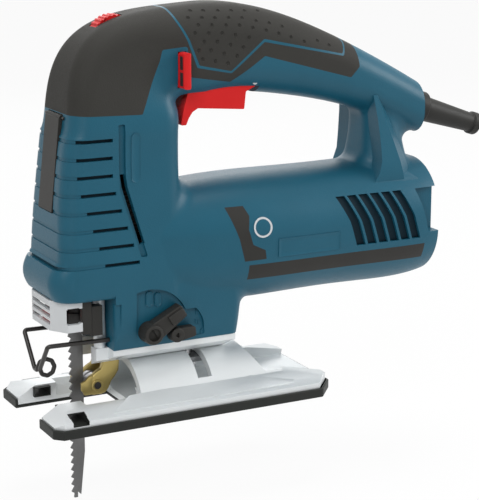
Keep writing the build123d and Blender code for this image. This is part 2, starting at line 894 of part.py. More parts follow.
def plunger():
    rod = rod_along_z(rod_x, 0, rod_bottom, rod_top, rod_radius)
    front = yoke_rear_x - yoke_thickness
    yoke = slab(front, yoke_rear_x, -yoke_half_width, yoke_half_width,
                yoke_z - yoke_half_height, yoke_z + yoke_half_height)
    slot_half = crank_radius + crank_pin_radius + gap
    slot_height = crank_pin_radius + 0.2
    slot = slab(front + 2, yoke_rear_x + 1, -slot_half, slot_half,
                yoke_z - slot_height, yoke_z + slot_height)
    return rod + yoke - slot


def blade_slot():
    half = blade_thick / 2 + seat
    return slab(-blade_front - 0.9, -blade_back + 0.9, -half, half,
                clamp_bottom - 1, blade_top_z + seat)


def blade_clamp():
    body = rod_along_z(rod_x, 0, clamp_bottom, clamp_top, clamp_radius)
    return body - rod_along_z(rod_x, 0, rod_bottom, clamp_top + 1, rod_radius + seat) - blade_slot()


def clamp_sleeve():
    low = clamp_bottom + 1.5
    high = rod_bottom - 0.5
    ring = rod_along_z(rod_x, 0, low, high, clamp_radius + sleeve_wall)
    return ring - rod_along_z(rod_x, 0, low - 1, high + 1, clamp_radius + seat)


def blade():
    front = -blade_front
    back = -blade_back
    gullet = front + tooth_depth
    shank_z = blade_top_z - 13
    lug_z = blade_top_z - 5
    outline = [
        (back - 4.4, blade_tip_z), (back - 4.4, blade_tip_z + 3), (back - 2.6, blade_tip_z + 1.2),
        (back, blade_tip_z + 25), (back, shank_z), (back - 1, shank_z + 2), (back - 1, lug_z),
        (back + 0.6, lug_z), (back + 0.6, lug_z + 2.5), (back - 1, lug_z + 3.5), (back - 1, blade_top_z),
        (front + 1, blade_top_z), (front + 1, lug_z + 3.5), (front - 0.6, lug_z + 2.5),
        (front - 0.6, lug_z), (front + 1, lug_z), (front + 1, shank_z + 2), (front, shank_z),
    ]
    count = int((shank_z - 14 - blade_tip_z) / tooth_pitch)
    for index in range(count):
        z = blade_tip_z + 2 + tooth_pitch * (count - index)
        outline.append((front, z))
        outline.append((gullet, z - 1.1))
        outline.append((gullet, z - 1.9))
    outline.append((front, blade_tip_z + 2))
    outline.append((front + 1.4, blade_tip_z))
    return side_prism(outline, -blade_thick / 2, blade_thick / 2)


# Motor and gears


def involute_gear(teeth, x0, x1, z, bore, turn):
    """Spur gear on the X axis with its first tooth at the given angle from +Y."""
    pressure = radians(25)
    pitch = gear_module * teeth / 2
    base = pitch * cos(pressure)
    tip = pitch + 0.7 * gear_module
    root = pitch - 0.95 * gear_module
    backlash = 0.16
    half_pitch = pi / (2 * teeth) - backlash / (2 * pitch) + tan(pressure) - pressure

    def half_angle(radius):
        slope = acos(min(1, base / radius))
        return half_pitch - (tan(slope) - slope)

    flank = [max(base, root), (max(base, root) + pitch) / 2, pitch, (pitch + tip) / 2, tip]
    outline = []
    for index in range(teeth):
        middle = 2 * pi * index / teeth + radians(turn)
        side = half_angle(flank[0])
        points = [(root, -side)] if root < base else []
        points += [(radius, -half_angle(radius)) for radius in flank]
        points += [(radius, half_angle(radius)) for radius in reversed(flank)]
        points += [(root, side)] if root < base else []
        for radius, angle in points:
            outline.append((radius * cos(middle + angle), z + radius * sin(middle + angle)))
    body = cross_prism(outline, x0, x1)
    return body - rod_along_x(x0 - 1, x1 + 1, 0, z, bore) if bore else body


gear_rear_x = gear_front_x + gear_width
pin_angle = asin(crank_rest / crank_radius)
pin_y = crank_radius * cos(pin_angle)
pin_z = gear_axis_z + crank_rest
commutator_front = 107.0
commutator_length = 13.0
coil_length = 6.0
winding_length = 8.0


def armature_shaft():
    rod = rod_along_x(gear_rear_x + 1, shaft_rear, 0, motor_axis_z, shaft_radius)
    return rod + involute_gear(pinion_teeth, gear_front_x - 1, gear_rear_x + 1, motor_axis_z, 0, 0)


def crank_gear():
    body = involute_gear(gear_teeth, gear_front_x, gear_rear_x, gear_axis_z,
                         axle_radius + slip, 180 / gear_teeth)
    body = body - tube_along_x(gear_front_x + 6, gear_rear_x + 1, gear_axis_z, 14.5, 8.5)
    return body - rod_along_x(gear_front_x - 1, gear_front_x + 5, pin_y, pin_z, crank_pin_radius - 1 + seat)


def crank_pin():
    head = rod_along_x(yoke_rear_x + 0.4, gear_front_x, pin_y, pin_z, crank_pin_radius)
    return head + rod_along_x(gear_front_x - 1, gear_front_x + 5, pin_y, pin_z, crank_pin_radius - 1)


def counterweight():
    ring = tube_along_x(gear_front_x - 4.5, gear_front_x, gear_axis_z, crank_radius + 4, axle_radius + 2)
    return ring & slab(-60, 0, -60, -1, 0, 200)


def gear_axle():
    return rod_along_x(gear_front_x - 1.5, case_plate_rear, 0, gear_axis_z, axle_radius)


def commutator():
    rear = commutator_front + commutator_length
    return tube_along_x(commutator_front, rear, motor_axis_z, commutator_radius, shaft_radius + seat)


def armature_core():
    rear = stator_front + stator_length
    body = tube_along_x(stator_front, rear, motor_axis_z, core_radius, shaft_radius + seat)
    for index in range(12):
        slot = slab(stator_front - 1, rear + 1, -1, 1, core_radius - 5, core_radius + 1)
        body = body - Pos(0, 0, motor_axis_z) * Rot(30 * index, 0, 0) * slot
    return body


def armature_windings():
    rear = stator_front + stator_length
    rings = []
    for x in (stator_front - winding_length, rear):
        rings.append(tube_along_x(x, x + winding_length, motor_axis_z, core_radius - 0.8, shaft_radius + 2))
    return rings[0] + rings[1]


def fan():
    disc = tube_along_x(fan_front, fan_front + 2, motor_axis_z, fan_radius, shaft_radius + seat)
    hub = tube_along_x(fan_front, fan_front + fan_width, motor_axis_z, shaft_radius + 4, shaft_radius + seat)
    body = disc + hub
    for index in range(fan_blades):
        paddle = slab(fan_front + 1, fan_front + fan_width - 1, -0.8, 0.8, shaft_radius + 3, fan_radius - 0.5)
        body = body + Pos(0, 0, motor_axis_z) * Rot(360 * index / fan_blades, 0, 0) * paddle
    return body


def stator():
    rear = stator_front + stator_length
    return tube_along_x(stator_front, rear, motor_axis_z, stator_radius, stator_bore)


def stator_coils():
    rear = stator_front + stator_length
    rings = []
    for x in (stator_front - coil_length, rear):
        rings.append(tube_along_x(x, x + coil_length, motor_axis_z, stator_radius - 2, stator_bore + 0.6))
    return rings[0] + rings[1]


brush_half_x = 3.5
brush_half_z = 2.5
brush_x = 113.5


def carbon_brushes():
    inner = commutator_radius + gap
    return both_sides(slab(brush_x - brush_half_x, brush_x + brush_half_x, inner, inner + 9.5,
                           motor_axis_z - brush_half_z, motor_axis_z + brush_half_z))


def brush_holders():
    inner = commutator_radius + 2
    box = slab(brush_x - 4.5, bearing_rib_front, inner, inner + 15,
               motor_axis_z - 4.2, motor_axis_z + 4.2)
    bore = slab(brush_x - brush_half_x - seat, brush_x + brush_half_x + seat, inner - 1, inner + 13,
                motor_axis_z - brush_half_z - seat, motor_axis_z + brush_half_z + seat)
    return both_sides(box - bore)


def rear_bearing():
    rear = rear_bearing_front + bearing_width
    return tube_along_x(rear_bearing_front, rear, motor_axis_z, bearing_radius, shaft_radius + slip)


def front_bearing():
    front = case_plate_rear - bearing_width
    return tube_along_x(front, case_plate_rear, motor_axis_z, bearing_radius, shaft_radius + slip)


case_low = 68.0
arm_low = 128.5
arm_high = 136.5
arm_half_width = 9.5
upper_guide_radius = 7.0


def gear_case(void):
    front = case_plate_front
    rear = case_plate_rear
    body = slab(front, rear, -40, 40, case_low, arm_high) & void
    body = body + slab(rod_x - upper_guide_radius - 1, front + 1, -arm_half_width, arm_half_width,
                       arm_low, arm_high)
    body = body - rod_along_z(rod_x, 0, arm_low - 1, arm_high + 1, upper_guide_radius + seat)
    body = body - rod_along_x(front - 1, rear + 1, 0, motor_axis_z, shaft_radius + 2)
    body = body - rod_along_x(rear - bearing_width, rear + 1, 0, motor_axis_z, bearing_radius + seat)
    return body - rod_along_x(front - 1, rear + 1, 0, gear_axis_z, axle_radius + seat)


def upper_guide():
    ring = rod_along_z(rod_x, 0, arm_low - 1, arm_high + 1, upper_guide_radius)
    return ring - rod_along_z(rod_x, 0, arm_low - 2, arm_high + 2, rod_radius + slip)


def lower_guide():
    land_low = lower_guide_top - lower_guide_land
    body = rod_along_z(rod_x, 0, nose_floor_top, lower_guide_top, lower_guide_radius)
    body = body - rod_along_z(rod_x, 0, nose_floor_top - 1, lower_guide_top + 1, rod_radius + slip)
    return body - rod_along_z(rod_x, 0, nose_floor_top - 1, land_low, clamp_radius + 1.6)


# Controls

lever_inner_y = scoop_y - gap
lever_outer_y = -32.0
orbit_outer_y = -29.0
cam_outer_y = -19.0
cam_inner_y = -16.5


def lever_arm(x, z, angle, reach, root_half, tip_half, y0, y1):
    a = radians(angle)
    along = (cos(a), sin(a))
    across = (-sin(a), cos(a))
    outline = []
    for step, side in ((0, -root_half), (reach, -tip_half), (reach, tip_half), (0, root_half)):
        outline.append((x + along[0] * step + across[0] * side,
                        z + along[1] * step + across[1] * side))
    return side_prism(outline, y0, y1)


def guide_lever():
    body = rod_along_y(guide_lever_x, guide_lever_z, lever_outer_y, lever_inner_y, 5.5)
    body = body + lever_arm(guide_lever_x, guide_lever_z, guide_lever_angle, guide_lever_reach,
                            5.2, 3.6, lever_outer_y, lever_inner_y)
    return body - rod_along_y(guide_lever_x, guide_lever_z, lever_outer_y - 1, lever_outer_y + 2.5, 3.5)


def guide_lever_shaft():
    shaft = rod_along_y(guide_lever_x, guide_lever_z, lever_inner_y, cam_inner_y, lever_shaft_radius)
    return shaft + rod_along_y(guide_lever_x, guide_lever_z, cam_outer_y, cam_inner_y,
                               lever_shaft_radius + 1.4)


def orbit_lever():
    body = rod_along_y(orbit_lever_x, orbit_lever_z, orbit_outer_y, lever_inner_y, 4)
    body = body + lever_arm(orbit_lever_x, orbit_lever_z, orbit_lever_angle, orbit_lever_reach,
                            3.6, 2.6, orbit_outer_y, lever_inner_y)
    return body - rod_along_y(orbit_lever_x, orbit_lever_z, orbit_outer_y - 1, orbit_outer_y + 1.5, 1.3)


def orbit_cam():
    shaft = rod_along_y(orbit_lever_x, orbit_lever_z, lever_inner_y, cam_inner_y, orbit_shaft_radius)
    lug = slab(orbit_lever_x - 1.5, orbit_lever_x + 1.5, cam_outer_y, cam_inner_y,
               orbit_lever_z, orbit_lever_z + 6)
    return shaft + lug


def trigger():
    outline = (
        (4.4, 146.2), (6.2, 155), (8.2, 161.5), (9.5, 169.5), (44, 169.5), (48.2, 168), (48.2, 164.2),
        (41.3, 161), (40.3, 152), (14, 154.3), (11, 152.6), (9, 149.8), (7.4, 146.2),
    )
    body = side_prism(outline, -trigger_half_width, trigger_half_width, 0.7)
    return body - rod_along_y(trigger_pivot_x, trigger_pivot_z, -30, 30, trigger_pin_radius + slip)


def trigger_pin():
    reach = trigger_half_width + 2
    return rod_along_y(trigger_pivot_x, trigger_pivot_z, -reach, reach, trigger_pin_radius)


def lock_button():
    half = lock_thick / 2
    return slab(lock_x - half, lock_x + half, -lock_reach, handle_half_width - 0.5,
                lock_low, lock_high)


module_base = 172.0
module_seat = 178.0
cheek_gap = 5.0
cheek_thick = 2.0
dial_pin_radius = 1.5


def speed_dial():
    body = rod_along_y(dial_x, dial_z, -dial_half, dial_half, dial_radius)
    return body - rod_along_y(dial_x, dial_z, -dial_half, dial_half, dial_pin_radius + slip)


def dial_pin():
    reach = cheek_gap + cheek_thick + 0.5
    return rod_along_y(dial_x, dial_z, -reach, reach, dial_pin_radius)


def speed_module(void):
    body = slab(dial_x - 7, dial_x + 7, -40, 40, module_base, module_seat) & void
    cheek = slab(dial_x - 7, dial_x + 7, cheek_gap, cheek_gap + cheek_thick,
                 module_seat - 1, dial_z + 3)
    return body + both_sides(cheek) - rod_along_y(dial_x, dial_z, -20, 20, dial_pin_radius + seat)


def switch_module(void):
    return slab(15, 60, -40, 40, 175, 187) & void


def ejector_lever():
    body = ejector_plate(0, 0.8, ejector_thick - 0.8)
    body = body + rod_along_y(ejector_pivot_x, ejector_top, -ejector_half_width, ejector_half_width,
                              ejector_knuckle)
    return body - rod_along_y(ejector_pivot_x, ejector_top, -30, 30, ejector_pin_radius + slip)


def ejector_pin():
    reach = ejector_half_width + 3
    return rod_along_y(ejector_pivot_x, ejector_top, -reach, reach, ejector_pin_radius)


# Front cap, guard wire, cord sleeve and screws


def cap_outline(inset):
    front = -cap_front + inset
    half = cap_half_width - inset
    cut = 9.5 - 0.6 * inset
    return (
        (-cap_side_end, -half), (front + 6, -half), (front, -half + cut),
        (front, half - cut), (front + 6, half), (-cap_side_end, half),
    )


def front_grille():
    body = plan_prism(cap_outline(0), cap_bottom, nose_bottom)
    inside = plan_prism(cap_outline(cap_wall), cap_bottom - 1, nose_bottom + 1)
    half = cap_half_width - cap_wall
    inside = inside + slab(-cap_side_end - 3, -cap_side_end + 1, -half, half,
                           cap_bottom - 1, nose_bottom + 1)
    body = body - inside
    for index in range(3):
        z = cap_bottom + 3.2 + 3.6 * index
        body = body - slab(-cap_front - 1, -cap_front + cap_wall + 1, -9, 9, z, z + 1.6)
    return body - slab(-cap_side_end - 8, -cap_side_end - 1.5, -40, 40,
                       cap_bottom + 4, cap_bottom + 12.4)


def grille_clips():
    post = slab(-cap_side_end, -cap_side_end + 5, 18, cap_half_width, cap_bottom - 2, nose_bottom)
    box = slab(-cap_side_end + 5, -cap_side_end + 11, 16, cap_half_width - 0.7,
               cap_bottom - 3.5, nose_bottom - 3.5)
    return both_sides(post + box)


def release_tab():
    return slab(-cap_front + cap_wall, -cap_front + 8.5, -4, 4, cap_bottom - 2, cap_bottom + 9)


def wire_guard():
    start = -leg_front + wall
    loop = []
    ring = wire_loop_radius / cos(radians(22.5))
    for index in range(9):
        a = radians(180 + 45 * index)
        loop.append((wire_loop_x + ring * cos(a), -1.6 + 0.4 * index, wire_loop_z + ring * sin(a)))
    bottom = wire_loop_z - 1.6
    left = wire_loop_x - ring
    path = [(start, -wire_y, wire_arm_z), (wire_corner_x, -wire_y, wire_corner_z)] + loop
    path += [(left, 2.4, bottom), (left, 6, bottom)]
    path += [(wire_corner_x, wire_y, wire_corner_z), (start, wire_y, wire_arm_z)]
    spine = FilletPolyline(*path, radius=1.5)
    section = Plane(origin=spine @ 0, z_dir=spine % 0) * Circle(wire_radius)
    return sweep(section, path=spine)


def strain_relief():
    tip_plane = sleeve_plane.offset(sleeve_length - 4)
    flange = extrude(sleeve_plane.offset(-4) * Circle(sleeve_flange), 13)
    taper = loft([sleeve_plane.offset(8) * Circle(sleeve_root), tip_plane * Circle(sleeve_tip)])
    ring = extrude(tip_plane * Circle(sleeve_tip + 1), 4)
    body = (flange + taper + ring) & slab(handle_end_x, 300, -50, 50, 0, 300)
    plug_plane = sleeve_plane.offset(-sleeve_plug_length)
    body = body + extrude(plug_plane * Circle(sleeve_plug_radius), sleeve_plug_length + 5)
    return body - extrude(sleeve_plane.offset(-30) * Circle(cord_bore), 100)


def housing_screws():
    screws = []
    for x, z in screw_places:
        screw = rod_along_y(x, z, screw_tip_y, screw_head_y + 1, screw_radius)
        head = rod_along_y(x, z, screw_head_y, screw_head_y + screw_head_height, screw_head_radius)
        cross = slab(x - 2, x + 2, screw_head_y + 1.4, screw_head_y + 4, z - 0.5, z + 0.5)
        cross = cross + slab(x - 0.5, x + 0.5, screw_head_y + 1.4, screw_head_y + 4, z - 2, z + 2)
        screws.append(screw + head - cross)
    return Compound(children=screws)


void = inner_form(wall)
parts = housing_pieces(void)
for make in (
    overshoe, shoe_plate, clamp_bar, clamp_screw, saddle_plate, fork_pivot, roller_fork,
    guide_roller, roller_pin, plunger, blade_clamp, clamp_sleeve, blade, armature_shaft,
    armature_core, armature_windings, commutator, fan, crank_gear, crank_pin, counterweight,
    gear_axle, stator, stator_coils, carbon_brushes, brush_holders, rear_bearing, front_bearing,
    upper_guide, lower_guide, guide_lever, guide_lever_shaft, orbit_lever, orbit_cam, trigger,
    trigger_pin, lock_button, speed_dial, dial_pin, ejector_lever, ejector_pin, front_grille, grille_clips,
    release_tab, wire_guard, strain_relief, housing_screws,
):
    parts[make.__name__] = make()
for make in (gear_case, speed_module, switch_module):
    parts[make.__name__] = make(void)
for name, piece in parts.items():
    print(name, piece.is_valid, round(piece.volume), len(piece.solids()))

os.makedirs("parts", exist_ok=True)
for name, piece in parts.items():
    export_step(piece, "parts/" + name + ".step")
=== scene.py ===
import bpy
import bmesh
import json
from math import cos, pi, radians, sin
from mathutils import Matrix, Vector
from mathutils.bvhtree import BVHTree


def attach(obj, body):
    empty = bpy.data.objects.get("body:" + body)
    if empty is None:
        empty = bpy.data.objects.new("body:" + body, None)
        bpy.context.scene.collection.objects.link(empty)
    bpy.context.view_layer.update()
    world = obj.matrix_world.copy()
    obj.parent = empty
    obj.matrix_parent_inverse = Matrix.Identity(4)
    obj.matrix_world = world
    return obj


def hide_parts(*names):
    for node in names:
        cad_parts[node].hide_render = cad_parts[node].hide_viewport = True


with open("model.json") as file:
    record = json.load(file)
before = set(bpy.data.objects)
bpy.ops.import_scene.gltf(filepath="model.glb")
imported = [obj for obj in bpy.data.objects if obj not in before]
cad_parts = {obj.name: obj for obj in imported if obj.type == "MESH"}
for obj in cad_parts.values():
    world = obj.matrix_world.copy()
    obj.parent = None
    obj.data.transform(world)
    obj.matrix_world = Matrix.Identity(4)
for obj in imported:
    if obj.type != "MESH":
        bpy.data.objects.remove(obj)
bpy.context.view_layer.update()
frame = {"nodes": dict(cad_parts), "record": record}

nodes = frame["nodes"]
mm = 0.001
print("frame loaded:", len(nodes), "solids")

# camera, matched to the photograph
cameraSet = {"yaw": -27.46, "pitch": 13.69, "focalPixels": 1670.9, "frameHeight": 500,
             "place": (-352.29, -763.97, 284.16)}


def addCamera(c):
    a = radians(c["yaw"])
    p = radians(c["pitch"])
    right = Vector((cos(a), sin(a), 0))
    back = Vector((sin(a) * cos(p), -cos(a) * cos(p), sin(p)))
    up = back.cross(right)
    cam = bpy.data.cameras.new("photoCamera")
    cam.sensor_width = 36
    cam.lens = 36 * c["focalPixels"] / c["frameHeight"]
    cam.clip_start = 0.01
    obj = bpy.data.objects.new("photoCamera", cam)
    obj.matrix_world = Matrix((right, up, back)).transposed().to_4x4()
    obj.location = Vector(c["place"]) * mm
    bpy.context.scene.collection.objects.link(obj)
    bpy.context.scene.camera = obj


addCamera(cameraSet)

# light and floor
lightSet = {
    "key": {"place": (-0.75, -0.95, 0.95), "size": 0.7, "watts": 8.5},
    "side": {"place": (1.15, -0.45, 0.55), "size": 0.6, "watts": 7.0},
    "top": {"place": (0.1, 0.1, 1.2), "size": 0.7, "watts": 8.0},
    "rear": {"place": (0.4, 1.1, 0.7), "size": 0.9, "watts": 4.0},
}
worldLevel = 0.2
floorLevel = -47.4 * mm
aimPoint = (0.03, 0, 0.08)
glowShare = 0.94  # the rest keeps the shadow


def addLights(rig):
    for name, l in rig.items():
        lamp = bpy.data.lights.new(name + "Light", "AREA")
        lamp.shape = "DISK"
        lamp.size = l["size"]
        lamp.energy = l["watts"]
        obj = bpy.data.objects.new(name + "Light", lamp)
        obj.location = l["place"]
        aim = Vector(aimPoint) - Vector(l["place"])
        obj.rotation_euler = aim.to_track_quat("-Z", "Y").to_euler()
        bpy.context.scene.collection.objects.link(obj)


def whiteSeenRay(tree):
    path = tree.nodes.new("ShaderNodeLightPath")  # camera, mirror and see-through rays
    first = tree.nodes.new("ShaderNodeMath")
    first.operation = "MAXIMUM"
    second = tree.nodes.new("ShaderNodeMath")
    second.operation = "MAXIMUM"
    tree.links.new(path.outputs["Is Camera Ray"], first.inputs[0])
    tree.links.new(path.outputs["Is Glossy Ray"], first.inputs[1])
    tree.links.new(first.outputs[0], second.inputs[0])
    tree.links.new(path.outputs["Is Transmission Ray"], second.inputs[1])
    return second.outputs[0]


def addWorld():
    world = bpy.data.worlds.new("studio")
    bpy.context.scene.world = world
    world.use_nodes = True
    tree = world.node_tree
    tree.nodes.clear()
    out = tree.nodes.new("ShaderNodeOutputWorld")
    soft = tree.nodes.new("ShaderNodeBackground")
    soft.inputs["Strength"].default_value = worldLevel
    soft.inputs["Color"].default_value = (1, 1, 1, 1)
    white = tree.nodes.new("ShaderNodeBackground")
    white.inputs["Color"].default_value = (1, 1, 1, 1)
    mix = tree.nodes.new("ShaderNodeMixShader")
    tree.links.new(whiteSeenRay(tree), mix.inputs[0])
    tree.links.new(soft.outputs[0], mix.inputs[1])
    tree.links.new(white.outputs[0], mix.inputs[2])
    tree.links.new(mix.outputs[0], out.inputs[0])


def addFloor():
    bm = bmesh.new()
    bmesh.ops.create_grid(bm, x_segments=1, y_segments=1, size=4)
    bmesh.ops.translate(bm, vec=(0, 0, floorLevel), verts=bm.verts)
    mesh = bpy.data.meshes.new("studioFloor")
    bm.to_mesh(mesh)
    bm.free()
    obj = bpy.data.objects.new("studioFloor", mesh)
    bpy.context.scene.collection.objects.link(obj)
    mat = bpy.data.materials.new("paleFloor")
    mat.use_nodes = True
    tree = mat.node_tree
    shade = tree.nodes["Principled BSDF"]
    shade.inputs["Base Color"].default_value = (0.86, 0.86, 0.86, 1)
    shade.inputs["Roughness"].default_value = 0.9
    glow = tree.nodes.new("ShaderNodeEmission")
    mix = tree.nodes.new("ShaderNodeMixShader")
    part = tree.nodes.new("ShaderNodeMath")
    part.operation = "MULTIPLY"
    part.inputs[1].default_value = glowShare
    tree.links.new(whiteSeenRay(tree), part.inputs[0])
    tree.links.new(part.outputs[0], mix.inputs[0])
    tree.links.new(shade.outputs[0], mix.inputs[1])
    tree.links.new(glow.outputs[0], mix.inputs[2])
    tree.links.new(mix.outputs[0], tree.nodes["Material Output"].inputs["Surface"])
    mesh.materials.append(mat)


addLights(lightSet)
addWorld()
addFloor()
bpy.context.scene.view_settings.view_transform = "Standard"
print("camera, lights and floor set")

# finishes: base colour, its cast, roughness, gloss, metal, grain and bump; scales are per metre
finishSet = {
    "blueMoulding": {"base": (0.006, 0.086, 0.138), "cast": (0.009, 0.102, 0.162), "rough": 0.42,
                     "gloss": 0.3, "grain": 1500, "bump": 0.22},
    "gripRubber": {"base": (0.034, 0.033, 0.03), "cast": (0.042, 0.041, 0.037), "rough": 0.66, "gloss": 0.16,
                   "grain": 1300, "bump": 0.2},
    "darkPlastic": {"base": (0.024, 0.023, 0.021), "cast": (0.032, 0.031, 0.028), "rough": 0.5, "gloss": 0.22,
                    "grain": 1900, "bump": 0.1},
    # the overshoe's own black; also worn by the black sheets of painted shade in the cap and fence slots
    "blackTrayAndShade": {"base": (0.016, 0.018, 0.016), "cast": (0.024, 0.026, 0.024), "rough": 0.52, "gloss": 0.22,
                  "grain": 1500, "bump": 0.12},
    "greyPlastic": {"base": (0.62, 0.64, 0.655), "cast": (0.68, 0.7, 0.71), "rough": 0.45, "gloss": 0.35,
                    "grain": 1800, "bump": 0.05},
    "redPlastic": {"base": (0.64, 0.012, 0.013), "cast": (0.7, 0.017, 0.017), "rough": 0.4, "gloss": 0.2,
                   "grain": 1700, "bump": 0.05},
    "sleeveRubber": {"base": (0.02, 0.02, 0.018), "cast": (0.028, 0.027, 0.025), "rough": 0.5, "gloss": 0.22,
                     "grain": 1600, "bump": 0.1},
    "castAlloy": {"base": (0.78, 0.81, 0.82), "cast": (0.71, 0.74, 0.75), "rough": 0.43, "metal": 0.3,
                  "grain": 1300, "bump": 0.16},
    "dullBrass": {"base": (0.46, 0.36, 0.13), "cast": (0.38, 0.3, 0.11), "rough": 0.38, "metal": 0.85,
                  "grain": 900, "bump": 0.1},
    "blackWire": {"base": (0.026, 0.024, 0.023), "cast": (0.04, 0.038, 0.036), "rough": 0.36, "metal": 0.5,
                  "grain": 1800, "bump": 0.08},
    # copper darkened well below its own colour: painted shade for windings seen deep through the slots
    "copperInPaintedShade": {"base": (0.1, 0.042, 0.022), "cast": (0.07, 0.03, 0.016), "rough": 0.5, "metal": 1.0,
                   "grain": 900, "bump": 0.2},
    "groundSteel": {"base": (0.5, 0.5, 0.51), "cast": (0.4, 0.4, 0.41), "rough": 0.32, "metal": 1.0,
                    "grain": 1400, "bump": 0.08},
    # near-black blue: painted shade for the sheets set behind the rear vents and nose slots
    "paintedShadeBlue": {"base": (0.002, 0.011, 0.018), "cast": (0.003, 0.016, 0.026), "rough": 0.6, "gloss": 0.15,
                 "grain": 1500, "bump": 0.1},
    "bladeSteel": {"base": (0.2, 0.2, 0.2), "cast": (0.11, 0.11, 0.11), "rough": 0.42, "metal": 0.8,
                   "grain": 1200, "bump": 0.12},
}
madeFinishes = {}
cloudScale = 45
roughSpread = 0.06
bumpReach = 0.0004  # metres


def makeFinish(name):
    f = finishSet[name]
    mat = bpy.data.materials.new(name)
    mat.use_nodes = True
    tree = mat.node_tree
    shade = tree.nodes["Principled BSDF"]
    shade.inputs["Metallic"].default_value = f.get("metal", 0)
    shade.inputs["Specular IOR Level"].default_value = f.get("gloss", 0.5)
    where = tree.nodes.new("ShaderNodeTexCoord")
    cloud = tree.nodes.new("ShaderNodeTexNoise")
    cloud.inputs["Scale"].default_value = cloudScale
    cloud.inputs["Detail"].default_value = 4
    grain = tree.nodes.new("ShaderNodeTexNoise")
    grain.inputs["Scale"].default_value = f["grain"]
    grain.inputs["Detail"].default_value = 3
    tint = tree.nodes.new("ShaderNodeMix")
    tint.data_type = "RGBA"
    tint.inputs[6].default_value = (*f["base"], 1)
    tint.inputs[7].default_value = (*f["cast"], 1)
    rough = tree.nodes.new("ShaderNodeMapRange")
    rough.inputs["From Min"].default_value = 0.3
    rough.inputs["From Max"].default_value = 0.7
    rough.inputs["To Min"].default_value = f["rough"] - roughSpread
    rough.inputs["To Max"].default_value = f["rough"] + roughSpread
    bump = tree.nodes.new("ShaderNodeBump")
    bump.inputs["Strength"].default_value = f["bump"]
    bump.inputs["Distance"].default_value = bumpReach
    for noise in (cloud, grain):
        tree.links.new(where.outputs["Object"], noise.inputs["Vector"])
    tree.links.new(cloud.outputs[0], tint.inputs[0])
    tree.links.new(grain.outputs[0], rough.inputs["Value"])
    tree.links.new(grain.outputs[0], bump.inputs["Height"])
    tree.links.new(tint.outputs[2], shade.inputs["Base Color"])
    tree.links.new(rough.outputs[0], shade.inputs["Roughness"])
    tree.links.new(bump.outputs[0], shade.inputs["Normal"])
    madeFinishes[name] = mat


for finishName in finishSet:
    makeFinish(finishName)
print("finishes made:", len(madeFinishes))

# each solid's finish
wornBy = {
    "blueMoulding": ["left_housing", "right_housing"],
    "gripRubber": ["left_nose_pad", "right_nose_pad", "left_grip_pad", "right_grip_pad"],
    "darkPlastic": ["left_side_strip", "right_side_strip", "ejector_lever", "guide_lever", "orbit_lever",
                    "grille_clips", "switch_module", "speed_module", "brush_holders", "fan",
                    "carbon_brushes"],
    "blackTrayAndShade": ["overshoe"],
    "greyPlastic": ["front_grille"],
    "redPlastic": ["trigger", "lock_button", "speed_dial", "release_tab"],
    "sleeveRubber": ["strain_relief"],
    "castAlloy": ["shoe_plate", "saddle_plate", "gear_case"],
    "dullBrass": ["roller_fork", "upper_guide", "lower_guide"],
    "blackWire": ["wire_guard", "clamp_sleeve", "blade_clamp", "roller_pin", "plunger", "ejector_pin",
                  "crank_gear", "crank_pin", "gear_axle", "counterweight"],
    "copperInPaintedShade": ["stator_coils", "armature_windings", "commutator"],
    "bladeSteel": ["blade"],
}
finishOf = {node: name for name, group in wornBy.items() for node in group}
for nodeName, obj in nodes.items():
    obj.data.materials.clear()
    obj.data.materials.append(madeFinishes[finishOf.get(nodeName, "groundSteel")])
bodyOf = {node: body for body, group in frame["record"]["behaviour"]["bodies"].items() for node in group}


def markSmooth(bm, angle):
    for face in bm.faces:
        face.smooth = True
    for edge in bm.edges:
        edge.smooth = len(edge.link_faces) == 2 and edge.calc_face_angle(0) < radians(angle)


def dressedCopy(nodeName, smoothAngle, bevelWidth=0.0):
    source = nodes[nodeName]
    bm = bmesh.new()
    bm.from_mesh(source.data)
    bmesh.ops.remove_doubles(bm, verts=bm.verts, dist=2e-6)
    if bevelWidth:
        bmesh.ops.dissolve_limit(bm, angle_limit=radians(1.0), verts=bm.verts, edges=bm.edges)
    markSmooth(bm, smoothAngle)
    mesh = bpy.data.meshes.new(nodeName + "Dressed")
    bm.to_mesh(mesh)
    bm.free()
    mesh.materials.append(source.data.materials[0])
    obj = bpy.data.objects.new(nodeName + "Dressed", mesh)
    bpy.context.scene.collection.objects.link(obj)
    if bevelWidth:
        soft = obj.modifiers.new("softEdges", "BEVEL")
        soft.width = bevelWidth * mm
        soft.segments = 2
        soft.limit_method = "ANGLE"
        soft.angle_limit = radians(35)
    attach(obj, bodyOf[nodeName])
    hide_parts(nodeName)
    return obj


# smooth copies of the moulded skins, and copies with eased edges: angle, edge radius in mm
smoothSkins = {"left_housing": 28, "right_housing": 28, "left_nose_pad": 28, "right_nose_pad": 28,
               "left_grip_pad": 28, "right_grip_pad": 28, "left_side_strip": 28, "right_side_strip": 28,
               "wire_guard": 50, "guide_roller": 30, "clamp_sleeve": 30, "front_grille": 30}
easedEdges = {"strain_relief": (40, 0.9), "trigger": (40, 0.8), "grille_clips": (40, 0.5),
              "overshoe": (40, 0.6), "shoe_plate": (40, 0.45), "saddle_plate": (40, 0.5),
              "ejector_lever": (40, 0.6), "release_tab": (40, 0.5), "housing_screws": (40, 0.25)}
dressed = {}
for nodeName, angle in smoothSkins.items():
    dressed[nodeName] = dressedCopy(nodeName, angle)
for nodeName, (angle, width) in easedEdges.items():
    dressed[nodeName] = dressedCopy(nodeName, angle, width)
print("copies dressed:", len(dressed))


